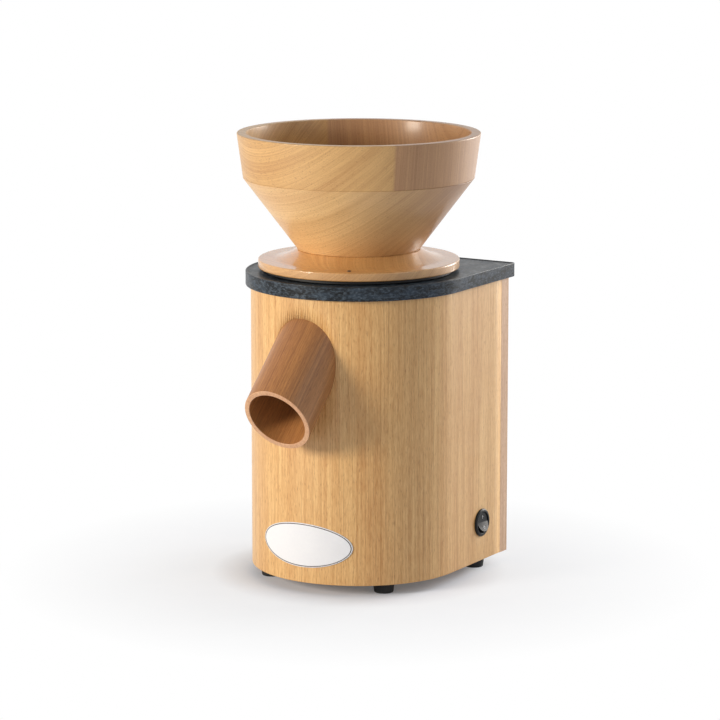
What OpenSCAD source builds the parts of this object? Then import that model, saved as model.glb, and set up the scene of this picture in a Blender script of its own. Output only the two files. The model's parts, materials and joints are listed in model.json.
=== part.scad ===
// Electric grain mill with a turned beech hopper, a bent beech body and an inclined spout.
// Millimetres. The origin lies on the hopper's axis, in the plane that the feet stand on.
// -Y is the front, where the spout is, +X is the side of the switch and +Z is up.

/* [Body] */
// Width of the body, and twice the radius of its round front
body_w = 180; // [174:1:190]
// Length of the flat sides, from the hopper's axis to the back face
side_l = 95.5; // [92:0.5:105]
// Height of the wooden body
body_h = 237; // [230:1:250]
// Thickness of the bent board
shell_t = 12; // [10:0.5:13]
// Thickness of the back panel
back_t = 12; // [10:0.5:14]
// Thickness of the base plate
base_t = 12; // [10:0.5:15]
// Width of the rebate in the board that takes the base plate
rebate_w = 6; // [4:0.5:8]
// Height of the feet
foot_h = 9; // [7:0.5:12]
// Radius of a foot where it meets the body
foot_r = 9; // [7.5:0.5:10]
// Distance from the round front to the middle of the front feet
front_foot_in = 15; // [13:0.5:20]
// Distance from the back face to the middle of the rear feet
rear_foot_in = 32.5; // [28:0.5:38]
// Distance from the outer side face to the middle of the rear feet
side_foot_in = 14; // [13:0.5:18]
// Distance from the panel's lower and upper edges to its screws
back_screw_in = 18; // [15:1:30]

/* [Top plate] */
// How far the plate stands out past the body
plate_over = 4.3; // [3:0.1:6]
// Thickness of the plate
plate_t = 11; // [9:0.5:13]
// Width of the raised edge
bead_w = 1.6; // [1.2:0.1:2.5]
// Height of the raised edge
bead_h = 0.7; // [0.4:0.1:1]
// Radius of the plate's back corners
plate_corner_r = 2; // [1.5:0.5:5]

/* [Hopper] */
// Outer radius of the rim
rim_r = 101; // [98:0.5:105]
// Outer radius at the seam between the ring and the cone
seam_r = 96; // [93:0.5:97.5]
// Radius of the cone where it meets the collar
cone_foot_r = 51; // [48:0.5:54]
// Radius of the collar disc
collar_r = 83.8; // [81:0.2:87]
// Height of the ring
ring_h = 37; // [33:0.5:42]
// Height of the cone
cone_h = 59.8; // [55:0.2:65]
// Thickness of the collar's edge
collar_edge_h = 7.1; // [6:0.1:9]
// Rise of the collar from its edge to the foot of the cone
collar_rise = 8.2; // [7:0.1:10]
// Width of the collar's flat top, from its edge to the start of the cove
collar_land = 16; // [12:0.5:20]
// Wall of the hopper at the rim, measured level
hopper_wall = 8; // [6.5:0.5:10]
// Radius of the throat
throat_r = 24; // [22:0.5:26]
// Radius of the finger guard's bars
guard_r = 1.5; // [1:0.1:2]
// Radius of the index dot
dot_r = 1.7; // [1.2:0.1:2.2]
// Angle of the index dot from the front, towards the switch side
dot_angle = 25; // [0:1:60]
// Distance of the index dot from the collar's edge
dot_in = 10.7; // [8:0.1:12]

/* [Hopper screw] */
// Height of the gap between the top plate and the collar
collar_gap = 3.4; // [3:0.1:5]
// Play under the sleeve's flange at the middle setting
flange_play = 0.5; // [0.45:0.05:0.8]
// How far the flange stays inside the collar's edge
flange_in = 5; // [4:0.5:7]
// How far the screw sleeve reaches past the stone's edge
sleeve_out = 1.5; // [0.5:0.5:2.5]
// Wall of the screw sleeve
sleeve_wall = 6; // [5:0.5:7]
// Wall of the fixed neck ring round the sleeve
neck_wall = 8; // [6:0.5:9]
// Width of the neck ring's flange under the plate
neck_flange_w = 9; // [8:0.5:9.5]
// Thickness of the neck ring's flange
neck_flange_t = 2.5; // [2:0.1:3]

/* [Stones] */
// Thickness of the lower stone
lower_stone_t = 16; // [14:0.5:17]
// Thickness of the upper stone
upper_stone_t = 17.6; // [16:0.1:18.5]
// Gap between the stones at the middle setting
stone_gap = 0.4; // [0.4:0.05:0.7]
// Radius of the eye at the lower face of the upper stone
eye_r = 12; // [10:0.5:14]
// Wall of the upper stone's holder
holder_wall = 6.5; // [5:0.5:7]
// Height of the upper stone's holder
holder_h = 12; // [10:0.5:14]
// Thickness of the holder's lip over the stone
holder_lip_t = 4; // [3:0.5:5]
// Radius of the holder's ears
ear_r = 6.5; // [5.5:0.5:7.5]
// Thickness of the holder's ears
ear_t = 6; // [5:0.5:7]
// Gap between the ears and the chamber's wall
ear_gap = 2.5; // [2:0.5:4]
// Travel that the holder has under the neck ring
holder_room = 3.5; // [3:0.1:5]
// Mean radius of a lifting spring
spring_r = 4; // [3.5:0.1:4.4]
// Radius of the spring wire
wire_r = 0.6; // [0.4:0.1:0.8]
// Turns of a lifting spring
spring_turns = 4; // [3:1:6]
// Radius of a guide pin
pin_r = 2; // [1.5:0.1:2.3]
// Height of a lifting spring's place, between its lug and the holder's ear
spring_space = 14; // [12:0.5:16]

/* [Milling chamber] */
// Gap between the chamber's flange and the body's inner faces
flange_gap = 3; // [2.5:0.5:5]
// Width of the chamber's flange outside its wall
flange_w = 7; // [6:0.5:9]
// Wall of the chamber
chamber_wall = 5; // [3.5:0.5:5.5]
// Thickness of the chamber's floor
floor_t = 6; // [5:0.5:7]
// Thickness of the chamber's flange
flange_t = 6; // [5:0.5:8]
// Gap between the sweeping vanes and the floor
vane_gap = 1; // [0.8:0.1:1.5]
// Height of the vanes
vane_h = 5; // [4:0.5:6]
// Thickness of the stone carrier's disc
carrier_t = 4; // [3:0.5:5]

/* [Spout] */
// Outer radius of the spout tube
spout_r = 29.3; // [27:0.1:30]
// Wall of the spout tube
spout_wall = 4.2; // [3.5:0.1:5]
// Slope of the spout below the level
spout_slope = 44; // [42:0.5:47]
// Height of the spout's axis at the body's front, below the top plate
spout_drop = 57.8; // [56:0.2:60]
// Length of the spout's axis from the body's front to its mouth
spout_reach = 52.3; // [45:0.1:60]
// Lean of the mouth's plane from the vertical
mouth_lean = 30.6; // [25:0.2:36]

/* [Motor] */
// Height of the motor above the base plate
motor_up = 49; // [47:1:56]
// Wall of the motor housing
motor_wall = 4; // [3:0.5:5]
// Thickness of an end shield
shield_t = 6; // [5:0.5:7]
// Distance from the chamber's edge to the motor bolts
bolt_in = 10; // [9:0.5:12]
// Radius of a motor bolt
bolt_r = 2.5; // [2:0.25:3]
// Gap between the motor housing and the bolts beside it
can_gap = 3.5; // [3:0.5:5]
// Gap between the motor and the chamber, kept by the spacers
spacer_h = 14; // [12:0.5:18]
// Wall of a spacer
spacer_wall = 2.5; // [2:0.25:3]
// Length of a winding head
winding_l = 10; // [8:0.5:12]
// Gap between a winding head and the end shield beside it
winding_gap = 10; // [9:0.5:12]
// Width of the stator core's ring
core_wall = 16; // [13:0.5:18]
// Gap between the rotor and the stator
air_gap = 0.5; // [0.4:0.1:0.8]
// Radius of the shaft
shaft_r = 6; // [5:0.25:7]
// Outer radius of a ball bearing
bearing_r = 16; // [14:0.5:18]
// Width of a ball bearing
bearing_w = 10; // [8:0.5:11]
// Radius of the fan
fan_r = 38; // [34:0.5:42]
// Height of the fan
fan_h = 10; // [8:0.5:12]
// Number of fan blades
fan_blades = 9; // [6:1:13]

/* [Switch, badge and inlet] */
// Distance of the switch from the hopper's axis, towards the back
switch_y = 50.7; // [44:0.1:54]
// Height of the switch above the bottom of the wood
switch_up = 33; // [30:0.5:40]
// Radius of the switch's bezel
bezel_r = 11.8; // [11.2:0.1:13]
// Thickness of the bezel
bezel_t = 2; // [1.5:0.1:2.5]
// Radius of the switch housing in the board
housing_r = 10.1; // [9.9:0.1:10.8]
// Radius of the well that the rocker turns in
well_r = 9; // [8.8:0.1:9.1]
// Angle between the rocker's two positions
rocker_swing = 24; // [20:1:26]
// Height of the badge's middle above the bottom of the wood
badge_up = 31.8; // [29:0.2:36]
// Half width of the badge, seen from the front
badge_a = 42.5; // [38:0.5:46]
// Half height of the badge
badge_b = 18.5; // [16:0.5:22]
// Thickness of the badge
badge_t = 0.8; // [0.6:0.1:1.2]
// Radius of the hole for a cord in the inlet
inlet_r = 3.8; // [3:0.1:4.4]
// Distance of the inlet from the middle of the back
inlet_x = 40; // [36:1:46]
// Height of the inlet above the bottom of the wood
inlet_up = 30; // [27:0.5:36]

/* [Fits] */
// Play of a shaft, pin or screw sleeve in its bore, on the radius
run = 0.05; // [0.03:0.01:0.09]
// Gap of a fixed piece in its seat
seat = 0.1; // [0.06:0.02:0.2]
// Gap between loose pieces that bear on each other
bear = 0.3; // [0.2:0.05:0.4]

/* [Hidden] */

$fn = 96;
eps = 0.01;     // overlap of cutting tools past the face that they cut
far = 400;      // longer than the mill in any direction

// body
front_r = body_w / 2;
inner_r = front_r - shell_t;
shell_back = side_l - back_t;
base_r = inner_r + rebate_w;
base_top = foot_h + base_t;
plate_z = foot_h + body_h;
plate_top = plate_z + plate_t;
front_foot_r = front_r - front_foot_in;
front_foot_angle = 47;      // from the front, towards each side
foot_taper = 1;             // how much a foot narrows to the floor
foot_recess = foot_h / 3;   // depth of the hole for a foot's screw head
foot_screw_r = 2;
foot_screw_l = 13;
foot_head_h = 2.4;
wood_screw_r = 2;
wood_screw_l = 24;
sunk = 0.2;                 // depth of a countersunk head under its face
back_screw_rows = [back_screw_in, body_h / 2, body_h - back_screw_in];
base_vents = 12;
base_vent_ring_r = 34;
vent_r = 5;

// radii inside the body, from its inner faces in to the stones
flange_r = min(inner_r, shell_back) - flange_gap;
chamber_r = flange_r - flange_w;
chamber_in_r = chamber_r - chamber_wall;
pin_ring_r = chamber_in_r - ear_gap - ear_r;
holder_r = pin_ring_r - spring_r - wire_r - bear;
holder_in_r = holder_r - holder_wall;
stone_r = holder_in_r - seat;
sleeve_r = stone_r + sleeve_out;

// hopper
sleeve_flange_t = collar_gap - flange_play;
collar_z = plate_top + collar_gap;
collar_top = collar_z + collar_edge_h;
cone_z = collar_top + collar_rise;
seam_z = cone_z + cone_h;
rim_z = seam_z + ring_h;
seam_groove = 0.35;         // chamfer of each piece at the seam
rim_chamfer = 0.7;
cove_start_r = collar_r - collar_land;
cove_steps = 12;
guard_seat = 4;             // depth of the guard's bars in the wood
guard_z = collar_z + collar_edge_h;
guard_gap = 0.2;            // gap between the two bars where they cross
dot_depth = 3;
dot_proud = 0.15;
sleeve_screw_r = 1.5;
sleeve_screw_ring_r = (sleeve_r + collar_r - flange_in) / 2;
sleeve_screw_l = 8;

// stones, counted down from the neck ring
sleeve_in_r = sleeve_r - sleeve_wall;
neck_in_r = sleeve_r + run;
neck_r = neck_in_r + neck_wall;
neck_bottom = plate_z - neck_flange_t;
holder_top = neck_bottom - holder_room;
holder_bottom = holder_top - holder_h;
upper_stone_top = holder_top - holder_lip_t;
upper_stone_z = upper_stone_top - upper_stone_t;
lower_stone_top = upper_stone_z - stone_gap;
lower_stone_z = lower_stone_top - lower_stone_t;
lip_in = 2;                 // how far the holder's lip reaches in past the sleeve
holder_lip_r = sleeve_in_r - lip_in;
ear_z = upper_stone_top - ear_t;
pin_angles = [90, 210, 330];
pin_proud = 4;              // how far a guide pin stands out over the ear
lug_t = 8;
lug_wall = 2.2;
lug_r = spring_r + lug_wall;
lug_z = ear_z - spring_space;

// milling chamber, counted down from the lower stone
carrier_z = lower_stone_z - carrier_t;
vane_z = carrier_z - vane_h;
floor_top = vane_z - vane_gap;
chamber_z = floor_top - floor_t;
chamber_h = plate_z - chamber_z;
seal_r = 12;
seal_h = 4;
floor_bore_gap = 1;         // gap round the shaft in the chamber's floor
chamber_screw_ring_r = (chamber_r + flange_r) / 2;
screw_r = 2;
neck_head_h = 1.6;
chamber_head_h = 3;
head_share = 1.5;           // radius of a pan head in radii of its screw
plate_screw_depth = plate_t - 3;
vane_end_gap = 2;
vane_r = chamber_in_r - vane_end_gap;
carrier_in = 2.5;           // how far the carrier stays inside the stone's edge
carrier_r = stone_r - carrier_in;
carrier_hub_r = 14;
vane_w = 5;
vane_count = 3;
stone_recess_r = 13;
stone_recess_t = 8;
shaft_end_gap = 0.2;        // gap between the shaft's end and the washer
shaft_top = lower_stone_top - stone_recess_t - shaft_end_gap;
washer_r = 11;
washer_t = 2;
end_screw_r = 2.5;
end_screw_l = 12;
end_head_h = 4;
drive_pin_r = 1.8;
drive_pin_l = 23;
drive_pin_drop = 2.5;       // depth of the drive pin's axis under the carrier's disc

// spout: a point on its axis at the body's front, and its direction
spout_z = plate_z - spout_drop;
bore_r = spout_r - spout_wall;

// motor, hung under the chamber over the room that it leaves above the base plate
can_top = chamber_z - spacer_h - shield_t;
can_z = base_top + motor_up + shield_t;
motor_l = can_top - can_z;
shield_z = can_z - shield_t;
bolt_ring_r = chamber_r - bolt_in;
motor_r = bolt_ring_r - bolt_r - can_gap;
can_in_r = motor_r - motor_wall;
rotor_r = can_in_r - core_wall - air_gap;
core_z = can_z + winding_gap + winding_l;
core_l = motor_l - 2 * (winding_gap + winding_l);
rotor_in = 2;               // how far the rotor core stays inside the stator core
winding_r = can_in_r - 2;
winding_in_r = rotor_r + 2.5;
ear_bolt_r = 7;
boss_wall = 4;
boss_r = bearing_r + boss_wall;
boss_h = bearing_w + boss_wall;
shield_bore_gap = 2;        // gap round the shaft in an end shield
shield_vents = 6;
vent_ring_r = (boss_r + can_in_r) / 2;
bolt_head_h = 4;
bolt_end = 2;               // floor left over the end of a motor bolt
fan_top = shield_z - 4;
shaft_end = 2;              // how far the shaft stands out under the fan
shaft_z = fan_top - fan_h - shaft_end;
bolt_angles = [45, 135, 225, 315];

// switch
switch_z = foot_h + switch_up;
housing_depth = shell_t + 8;
well_depth = 12;
pivot_in = 1;               // depth of the rocker's axis under the board's face
rocker_side_gap = 0.8;
rocker_end_gap = 0.3;
rocker_r = well_r - rocker_side_gap;
rocker_end_r = well_r - rocker_end_gap;
crest_out = 1.2;            // height of the rocker's crest over the board's face
stub_r = 1.2;
stub_l = 0.6;               // length of a stub in the housing's wall
blade_w = 6.3;
blade_t = 0.8;
blade_l = 10;
blade_out = 4;              // distance of a blade from the switch's axis

// badge and inlet
badge_z = foot_h + badge_up;
inlet_z = foot_h + inlet_up;
inlet_wall = 2.6;
inlet_rim = 2.6;
inlet_tube_r = inlet_r + inlet_wall;
inlet_flange_r = inlet_tube_r + inlet_rim;
inlet_flange_t = 3;
inlet_end = 2;              // how far the inlet's tube stands out inside the panel

// electrical parts on the base plate
cap_r = 14;
cap_l = 46;
cap_gap = 12;               // gap between the capacitor and the switch's blades
cap_x = front_r - housing_depth - blade_l - cap_gap - cap_l;
cap_y = 45;
cap_up = 1;                 // height of the capacitor over the base plate, on its clip
tab_size = [0.8, 6, 8];
tab_out = 4;                // distance of a tab from the capacitor's axis
block_size = [40, 20, 15];
block_pos = [-62, 45, base_top];
lead_r = 1.5;
lead_hole_gap = 0.6;
lead_up = 15;               // height of the lead's hole above the motor housing's lower end

// Points of the lead from the terminal block to the switch
switch_lead_points = [
    [-21.5, 60, base_top + 7], [-14, 62, base_top + 7], [-4, 67, base_top + 6],
    [10, 70, base_top + 5], [26, 70, base_top + 5], [40, 69, base_top + 7],
    [50, 64, base_top + 11], [54, 58, base_top + 16],
    [front_r - housing_depth - blade_l - 8, switch_y + 3, switch_z],
    [front_r - housing_depth - blade_l - 0.2, switch_y + 3, switch_z]
];
// Points of the lead from the terminal block to the motor's lower winding
motor_lead_points = [
    [-55, 44.6, base_top + 7], [-55, 40, base_top + 8], [-57, 33, base_top + 14],
    [-60, 24, base_top + 24], [-63, 12, can_z - 6], [-64, 4, can_z + 4],
    [-62, 0, can_z + lead_up - 3], [-motor_r - 4, 0, can_z + lead_up],
    [-winding_r - bear, 0, can_z + lead_up]
];

// ---- helpers ----

// U-shaped plan: a round front of radius r, flat sides and a flat back at y = back
module plan(r, back, corner = 0) {
    intersection() {
        circle(r = r);
        translate([-r, -r])
            square([2 * r, r + eps]);
    }
    translate([-r, 0])
        square([2 * r, back - corner]);
    if (corner > 0) {
        translate([-r + corner, 0])
            square([2 * (r - corner), back]);
        for (side = [-1, 1])
            translate([side * (r - corner), back - corner])
                circle(r = corner);
    }
}

module tube(outer_r, bore, h) {
    difference() {
        cylinder(r = outer_r, h = h);
        translate([0, 0, -eps])
            cylinder(r = bore, h = h + 2 * eps);
    }
}

// A child at each angle, at radius r from the hopper's axis
module around(angles, r) {
    for (a = angles)
        rotate([0, 0, a])
            translate([r, 0, 0])
                children();
}

module at_z(z) {
    translate([0, 0, z])
        children();
}

// Places a cylinder's +Z along the spout, out of its mouth, from its point on the body's front
module along_spout() {
    translate([0, -front_r, spout_z])
        rotate([90 + spout_slope, 0, 0])
            children();
}

// A cylinder along the spout that runs from deep inside the body out past its mouth
module spout_rod(r) {
    along_spout()
        translate([0, 0, -far / 4])
            cylinder(r = r, h = far / 2);
}

// Places +Z out of the switch side, on the board's outer face at the switch
module at_switch() {
    translate([front_r, switch_y, switch_z])
        rotate([0, 90, 0])
            children();
}

// A countersunk screw that points down its own -Z from a head at z = 0
module screw(r, l) {
    translate([0, 0, -2 * r])
        cylinder(r1 = r, r2 = 2 * r, h = 2 * r, $fn = 32);
    translate([0, 0, -l])
        cylinder(r = r, h = l - r, $fn = 32);
}

// Unit vector of b - a
function toward(a, b) = (b - a) / norm(b - a);

// Direction of a route at its point i
function heading(route, i) =
    i == 0 ? toward(route[0], route[1])
    : i == len(route) - 1 ? toward(route[i - 1], route[i])
    : toward([0, 0, 0], toward(route[i - 1], route[i]) + toward(route[i], route[i + 1]));

// A frame that stays nearly level: side and lift directions for a heading
function side_of(d) = toward([0, 0, 0], cross(d, abs(d[2]) > 0.9 ? [0, 1, 0] : [0, 0, 1]));

// A closed round tube swept along a route, with one ring of points at each point of the route
module swept(route, r, sides = 8) {
    rings = len(route);
    points = [
        for (i = [0 : rings - 1])
            let (d = heading(route, i), u = side_of(d), v = cross(d, u))
                for (k = [0 : sides - 1])
                    route[i] + r * (cos(360 * k / sides) * u + sin(360 * k / sides) * v)
    ];
    walls = [
        for (i = [0 : rings - 2], k = [0 : sides - 1])
            let (a = i * sides + k, b = i * sides + (k + 1) % sides)
                each [[a, b, b + sides], [a, b + sides, a + sides]]
    ];
    last = (rings - 1) * sides;
    ends = [
        for (k = [1 : sides - 2])
            each [[0, k + 1, k], [last, last + k, last + k + 1]]
    ];
    polyhedron(points = points, faces = [for (f = concat(walls, ends)) [f[0], f[2], f[1]]]);
}

// ---- body ----

module shell() {
    color("burlywood")
        difference() {
            at_z(foot_h)
                linear_extrude(body_h)
                    difference() {
                        plan(front_r, shell_back);
                        plan(inner_r, far);
                    }
            at_z(foot_h - eps)
                linear_extrude(base_t + eps)
                    plan(base_r, far);
            spout_rod(spout_r + seat);
            at_switch()
                at_z(-shell_t - 1)
                    cylinder(r = housing_r + seat, h = shell_t + 2);
            back_screw_places()
                screw(wood_screw_r + seat, wood_screw_l + 1);
        }
}

// A child at each of the back panel's screws, with +Z out of the back face
module back_screw_places() {
    for (side = [-1, 1], up = back_screw_rows)
        translate([side * (front_r - shell_t / 2), side_l, foot_h + up])
            rotate([-90, 0, 0])
                children();
}

module back_panel() {
    slots = 9;
    slot_w = 4;
    slot_l = 54;
    slot_pitch = 10;
    slots_up = 12;
    slot_mid = foot_h + body_h / 2 + slots_up;
    color("burlywood")
        difference() {
            translate([-front_r, shell_back, foot_h])
                cube([body_w, back_t, body_h]);
            for (i = [0 : slots - 1])
                translate([(i - (slots - 1) / 2) * slot_pitch, side_l + 1, slot_mid])
                    rotate([90, 0, 0])
                        linear_extrude(back_t + 2) {
                            square([slot_w, slot_l - slot_w], center = true);
                            for (end = [-1, 1])
                                translate([0, end * (slot_l - slot_w) / 2])
                                    circle(r = slot_w / 2, $fn = 24);
                        }
            translate([-inlet_x, side_l + 1, inlet_z])
                rotate([90, 0, 0])
                    cylinder(r = inlet_tube_r + seat, h = back_t + 2);
            back_screw_places()
                screw(wood_screw_r + seat, wood_screw_l + 1);
        }
}

module back_screws() {
    color("darkgoldenrod")
        back_screw_places()
            at_z(-sunk)
                screw(wood_screw_r, wood_screw_l - sunk);
}

module base_plate() {
    color("peru")
        difference() {
            at_z(foot_h)
                linear_extrude(base_t)
                    plan(base_r - seat, shell_back);
            at_z(foot_h - 1)
                around([for (i = [0 : base_vents - 1]) i * 360 / base_vents], base_vent_ring_r)
                    cylinder(r = vent_r, h = base_t + 2);
            foot_places()
                at_z(foot_h - 1)
                    cylinder(r = foot_screw_r + seat, h = foot_screw_l - 3, $fn = 32);
        }
}

// A child under each foot, on the floor
module foot_places() {
    for (side = [-1, 1]) {
        translate([
            side * front_foot_r * sin(front_foot_angle),
            -front_foot_r * cos(front_foot_angle),
            0
        ])
            children();
        translate([side * (front_r - side_foot_in), side_l - rear_foot_in, 0])
            children();
    }
}

module feet() {
    recess_r = 2 * foot_screw_r + 0.6;
    color("#202020")
        foot_places()
            difference() {
                cylinder(r1 = foot_r - foot_taper, r2 = foot_r, h = foot_h);
                at_z(-eps)
                    cylinder(r = recess_r, h = foot_recess + eps);
                at_z(-eps)
                    cylinder(r = foot_screw_r + seat, h = foot_h + 1);
            }
}

module foot_screws() {
    color("silver")
        foot_places()
            at_z(foot_recess - foot_head_h) {
                cylinder(r = 2 * foot_screw_r, h = foot_head_h, $fn = 32);
                cylinder(r = foot_screw_r, h = foot_screw_l, $fn = 32);
            }
}

module top_plate() {
    color("#3b4046")
        difference() {
            union() {
                at_z(plate_z)
                    linear_extrude(plate_t)
                        plan(front_r + plate_over, side_l + plate_over, plate_corner_r);
                at_z(plate_top - eps)
                    linear_extrude(bead_h + eps)
                        difference() {
                            plan(front_r + plate_over, side_l + plate_over, plate_corner_r);
                            plan(front_r + plate_over - bead_w, side_l + plate_over - bead_w, 1);
                        }
            }
            at_z(plate_z - 1)
                cylinder(r = neck_r + seat, h = plate_t + 2);
            at_z(plate_z - eps) {
                around(bolt_angles, chamber_screw_ring_r)
                    cylinder(r = screw_r + seat, h = plate_screw_depth, $fn = 32);
                around(neck_screw_angles(), neck_screw_ring_r())
                    cylinder(r = screw_r + seat, h = plate_screw_depth, $fn = 32);
            }
        }
}

function neck_screw_angles() = [for (a = pin_angles) a + 60];
function neck_screw_ring_r() = neck_r + neck_flange_w / 2;

module neck_ring() {
    color("#2b2b2b")
        difference() {
            union() {
                at_z(neck_bottom)
                    tube(neck_r, neck_in_r, plate_top - neck_bottom);
                at_z(neck_bottom)
                    tube(neck_r + neck_flange_w, neck_in_r, neck_flange_t);
            }
            at_z(neck_bottom - 1)
                around(neck_screw_angles(), neck_screw_ring_r())
                    cylinder(r = screw_r + seat, h = neck_flange_t + 2, $fn = 32);
        }
}

module neck_screws() {
    color("silver")
        around(neck_screw_angles(), neck_screw_ring_r()) {
            at_z(neck_bottom - neck_head_h)
                cylinder(r = head_share * screw_r, h = neck_head_h, $fn = 32);
            at_z(neck_bottom - eps)
                cylinder(r = screw_r, h = plate_screw_depth, $fn = 32);
        }
}

// ---- milling chamber and spout ----

module milling_chamber() {
    color("lightgray")
        difference() {
            union() {
                at_z(chamber_z)
                    cylinder(r = chamber_r, h = floor_t);
                at_z(chamber_z)
                    tube(chamber_r, chamber_in_r, chamber_h);
                difference() {
                    at_z(plate_z - flange_t)
                        tube(flange_r, chamber_in_r, flange_t);
                    difference() {
                        spout_rod(spout_r + seat);
                        at_z(chamber_z)
                            cylinder(r = chamber_r, h = chamber_h);
                    }
                }
                spring_lugs();
            }
            spout_rod(bore_r);
            at_z(chamber_z - eps)
                cylinder(r = seal_r + seat, h = seal_h + eps);
            at_z(chamber_z)
                cylinder(r = shaft_r + floor_bore_gap, h = floor_t + 1);
            at_z(chamber_z - eps)
                around(bolt_angles, bolt_ring_r)
                    cylinder(r = bolt_r + seat, h = floor_t - bolt_end / 2, $fn = 32);
            at_z(plate_z - flange_t - 1)
                around(bolt_angles, chamber_screw_ring_r)
                    cylinder(r = screw_r + seat, h = flange_t + 2, $fn = 32);
            at_z(lug_z - lug_t / 2)
                around(pin_angles, pin_ring_r)
                    cylinder(r = pin_r + seat, h = lug_t, $fn = 32);
        }
}

// Three lugs on the chamber's wall, which carry the springs and their pins
module spring_lugs() {
    at_z(lug_z - lug_t)
        intersection() {
            cylinder(r = chamber_in_r + 1, h = lug_t);
            around(pin_angles, pin_ring_r)
                union() {
                    cylinder(r = lug_r, h = lug_t);
                    translate([0, -lug_r, 0])
                        cube([chamber_r - pin_ring_r, 2 * lug_r, lug_t]);
                }
        }
}

module chamber_screws() {
    color("silver")
        around(bolt_angles, chamber_screw_ring_r) {
            at_z(plate_z - flange_t - chamber_head_h)
                cylinder(r = head_share * screw_r, h = chamber_head_h, $fn = 32);
            at_z(plate_z - flange_t - eps)
                cylinder(r = screw_r, h = flange_t + plate_screw_depth - 1, $fn = 32);
        }
}

module felt_seal() {
    color("dimgray")
        at_z(chamber_z)
            tube(seal_r, shaft_r + run, seal_h);
}

module guide_pins() {
    color("silver")
        around(pin_angles, pin_ring_r)
            at_z(lug_z - lug_t / 2)
                cylinder(r = pin_r, h = lug_t / 2 + spring_space + ear_t + pin_proud, $fn = 32);
}

// One lifting spring: a helix of wire round its pin, from the lug up to the holder's ear
function helix(turns, r, h, per_turn) = [
    for (i = [0 : turns * per_turn])
        let (a = 360 * i / per_turn)
            [r * cos(a), r * sin(a), wire_r + (h - 2 * wire_r) * i / (turns * per_turn)]
];

module lift_springs() {
    color("silver")
        around(pin_angles, pin_ring_r)
            at_z(lug_z + wire_r / 2)
                swept(helix(spring_turns, spring_r, spring_space - bear - wire_r / 2, 12), wire_r, 6);
}

module spout() {
    color("#9a6a45")
        difference() {
            spout_rod(spout_r);
            spout_rod(bore_r);
            // the mouth's plane
            translate([
                0,
                -front_r - spout_reach * cos(spout_slope),
                spout_z - spout_reach * sin(spout_slope)
            ])
                rotate([mouth_lean, 0, 0])
                    translate([-far / 2, -far, -far / 2])
                        cube([far, far, far]);
            // the top plate above and the chamber behind
            translate([-far / 2, -far / 2, plate_z])
                cube([far, far, far]);
            at_z(chamber_z)
                cylinder(r = chamber_r + seat, h = far);
            // what would run on past the chamber's floor
            translate([-far / 2, -chamber_r / 2, 0])
                cube([far, far, far]);
        }
}

// ---- motor ----

module motor_ears(h) {
    neck_w = 2 * ear_bolt_r - 2;
    around(bolt_angles, bolt_ring_r) {
        cylinder(r = ear_bolt_r, h = h, $fn = 48);
        translate([-neck_w, -neck_w / 2, 0])
            cube([neck_w, neck_w, h]);
    }
}

module end_shield() {
    difference() {
        union() {
            cylinder(r = motor_r, h = shield_t);
            motor_ears(shield_t);
            cylinder(r = boss_r, h = boss_h);
        }
        at_z(-1)
            cylinder(r = shaft_r + shield_bore_gap, h = boss_h + 2);
        at_z(boss_h - bearing_w)
            cylinder(r = bearing_r + run, h = bearing_w + 1);
        at_z(-1)
            around([for (i = [0 : shield_vents - 1]) i * 360 / shield_vents], vent_ring_r)
                cylinder(r = vent_r, h = shield_t + 2, $fn = 48);
        at_z(-1)
            around(bolt_angles, bolt_ring_r)
                cylinder(r = bolt_r + seat, h = shield_t + 2, $fn = 32);
    }
}

module lower_end_shield() {
    color("gainsboro")
        at_z(shield_z)
            end_shield();
}

module upper_end_shield() {
    color("gainsboro")
        at_z(can_top + shield_t)
            mirror([0, 0, 1])
                end_shield();
}

module bearing() {
    color("silver")
        tube(bearing_r, shaft_r + run, bearing_w);
}

module lower_bearing() {
    at_z(shield_z + boss_h - bearing_w)
        bearing();
}

module upper_bearing() {
    at_z(can_top + shield_t - boss_h)
        bearing();
}

module motor_can() {
    color("slategray")
        difference() {
            at_z(can_z)
                tube(motor_r, can_in_r, motor_l);
            translate([-motor_r - 1, 0, can_z + lead_up])
                rotate([0, 90, 0])
                    cylinder(r = lead_r + lead_hole_gap, h = motor_wall + 2, $fn = 32);
        }
}

module stator_core() {
    color("darkgray")
        at_z(core_z)
            tube(can_in_r - seat, rotor_r + air_gap, core_l);
}

module windings() {
    color("#b5651d")
        for (z = [core_z - winding_l, core_z + core_l])
            at_z(z)
                tube(winding_r, winding_in_r, winding_l);
}

module motor_spacers() {
    color("silver")
        around(bolt_angles, bolt_ring_r)
            at_z(can_top + shield_t)
                tube(bolt_r + spacer_wall, bolt_r + seat, spacer_h, $fn = 32);
}

module motor_bolts() {
    color("silver")
        around(bolt_angles, bolt_ring_r) {
            at_z(shield_z - bolt_head_h)
                cylinder(r = 1.8 * bolt_r, h = bolt_head_h, $fn = 6);
            at_z(shield_z - eps)
                cylinder(r = bolt_r, h = floor_top - bolt_end - shield_z, $fn = 32);
        }
}

// ---- rotor ----

module shaft() {
    color("silver")
        difference() {
            at_z(shaft_z)
                cylinder(r = shaft_r, h = shaft_top - shaft_z);
            at_z(shaft_top - end_screw_l - 2)
                cylinder(r = end_screw_r + run, h = end_screw_l + 3, $fn = 32);
            translate([-shaft_r - 1, 0, carrier_z - drive_pin_drop])
                rotate([0, 90, 0])
                    cylinder(r = drive_pin_r + run, h = 2 * shaft_r + 2, $fn = 32);
        }
}

module rotor_core() {
    color("gray")
        at_z(core_z + rotor_in)
            tube(rotor_r, shaft_r + run, core_l - 2 * rotor_in);
}

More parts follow.
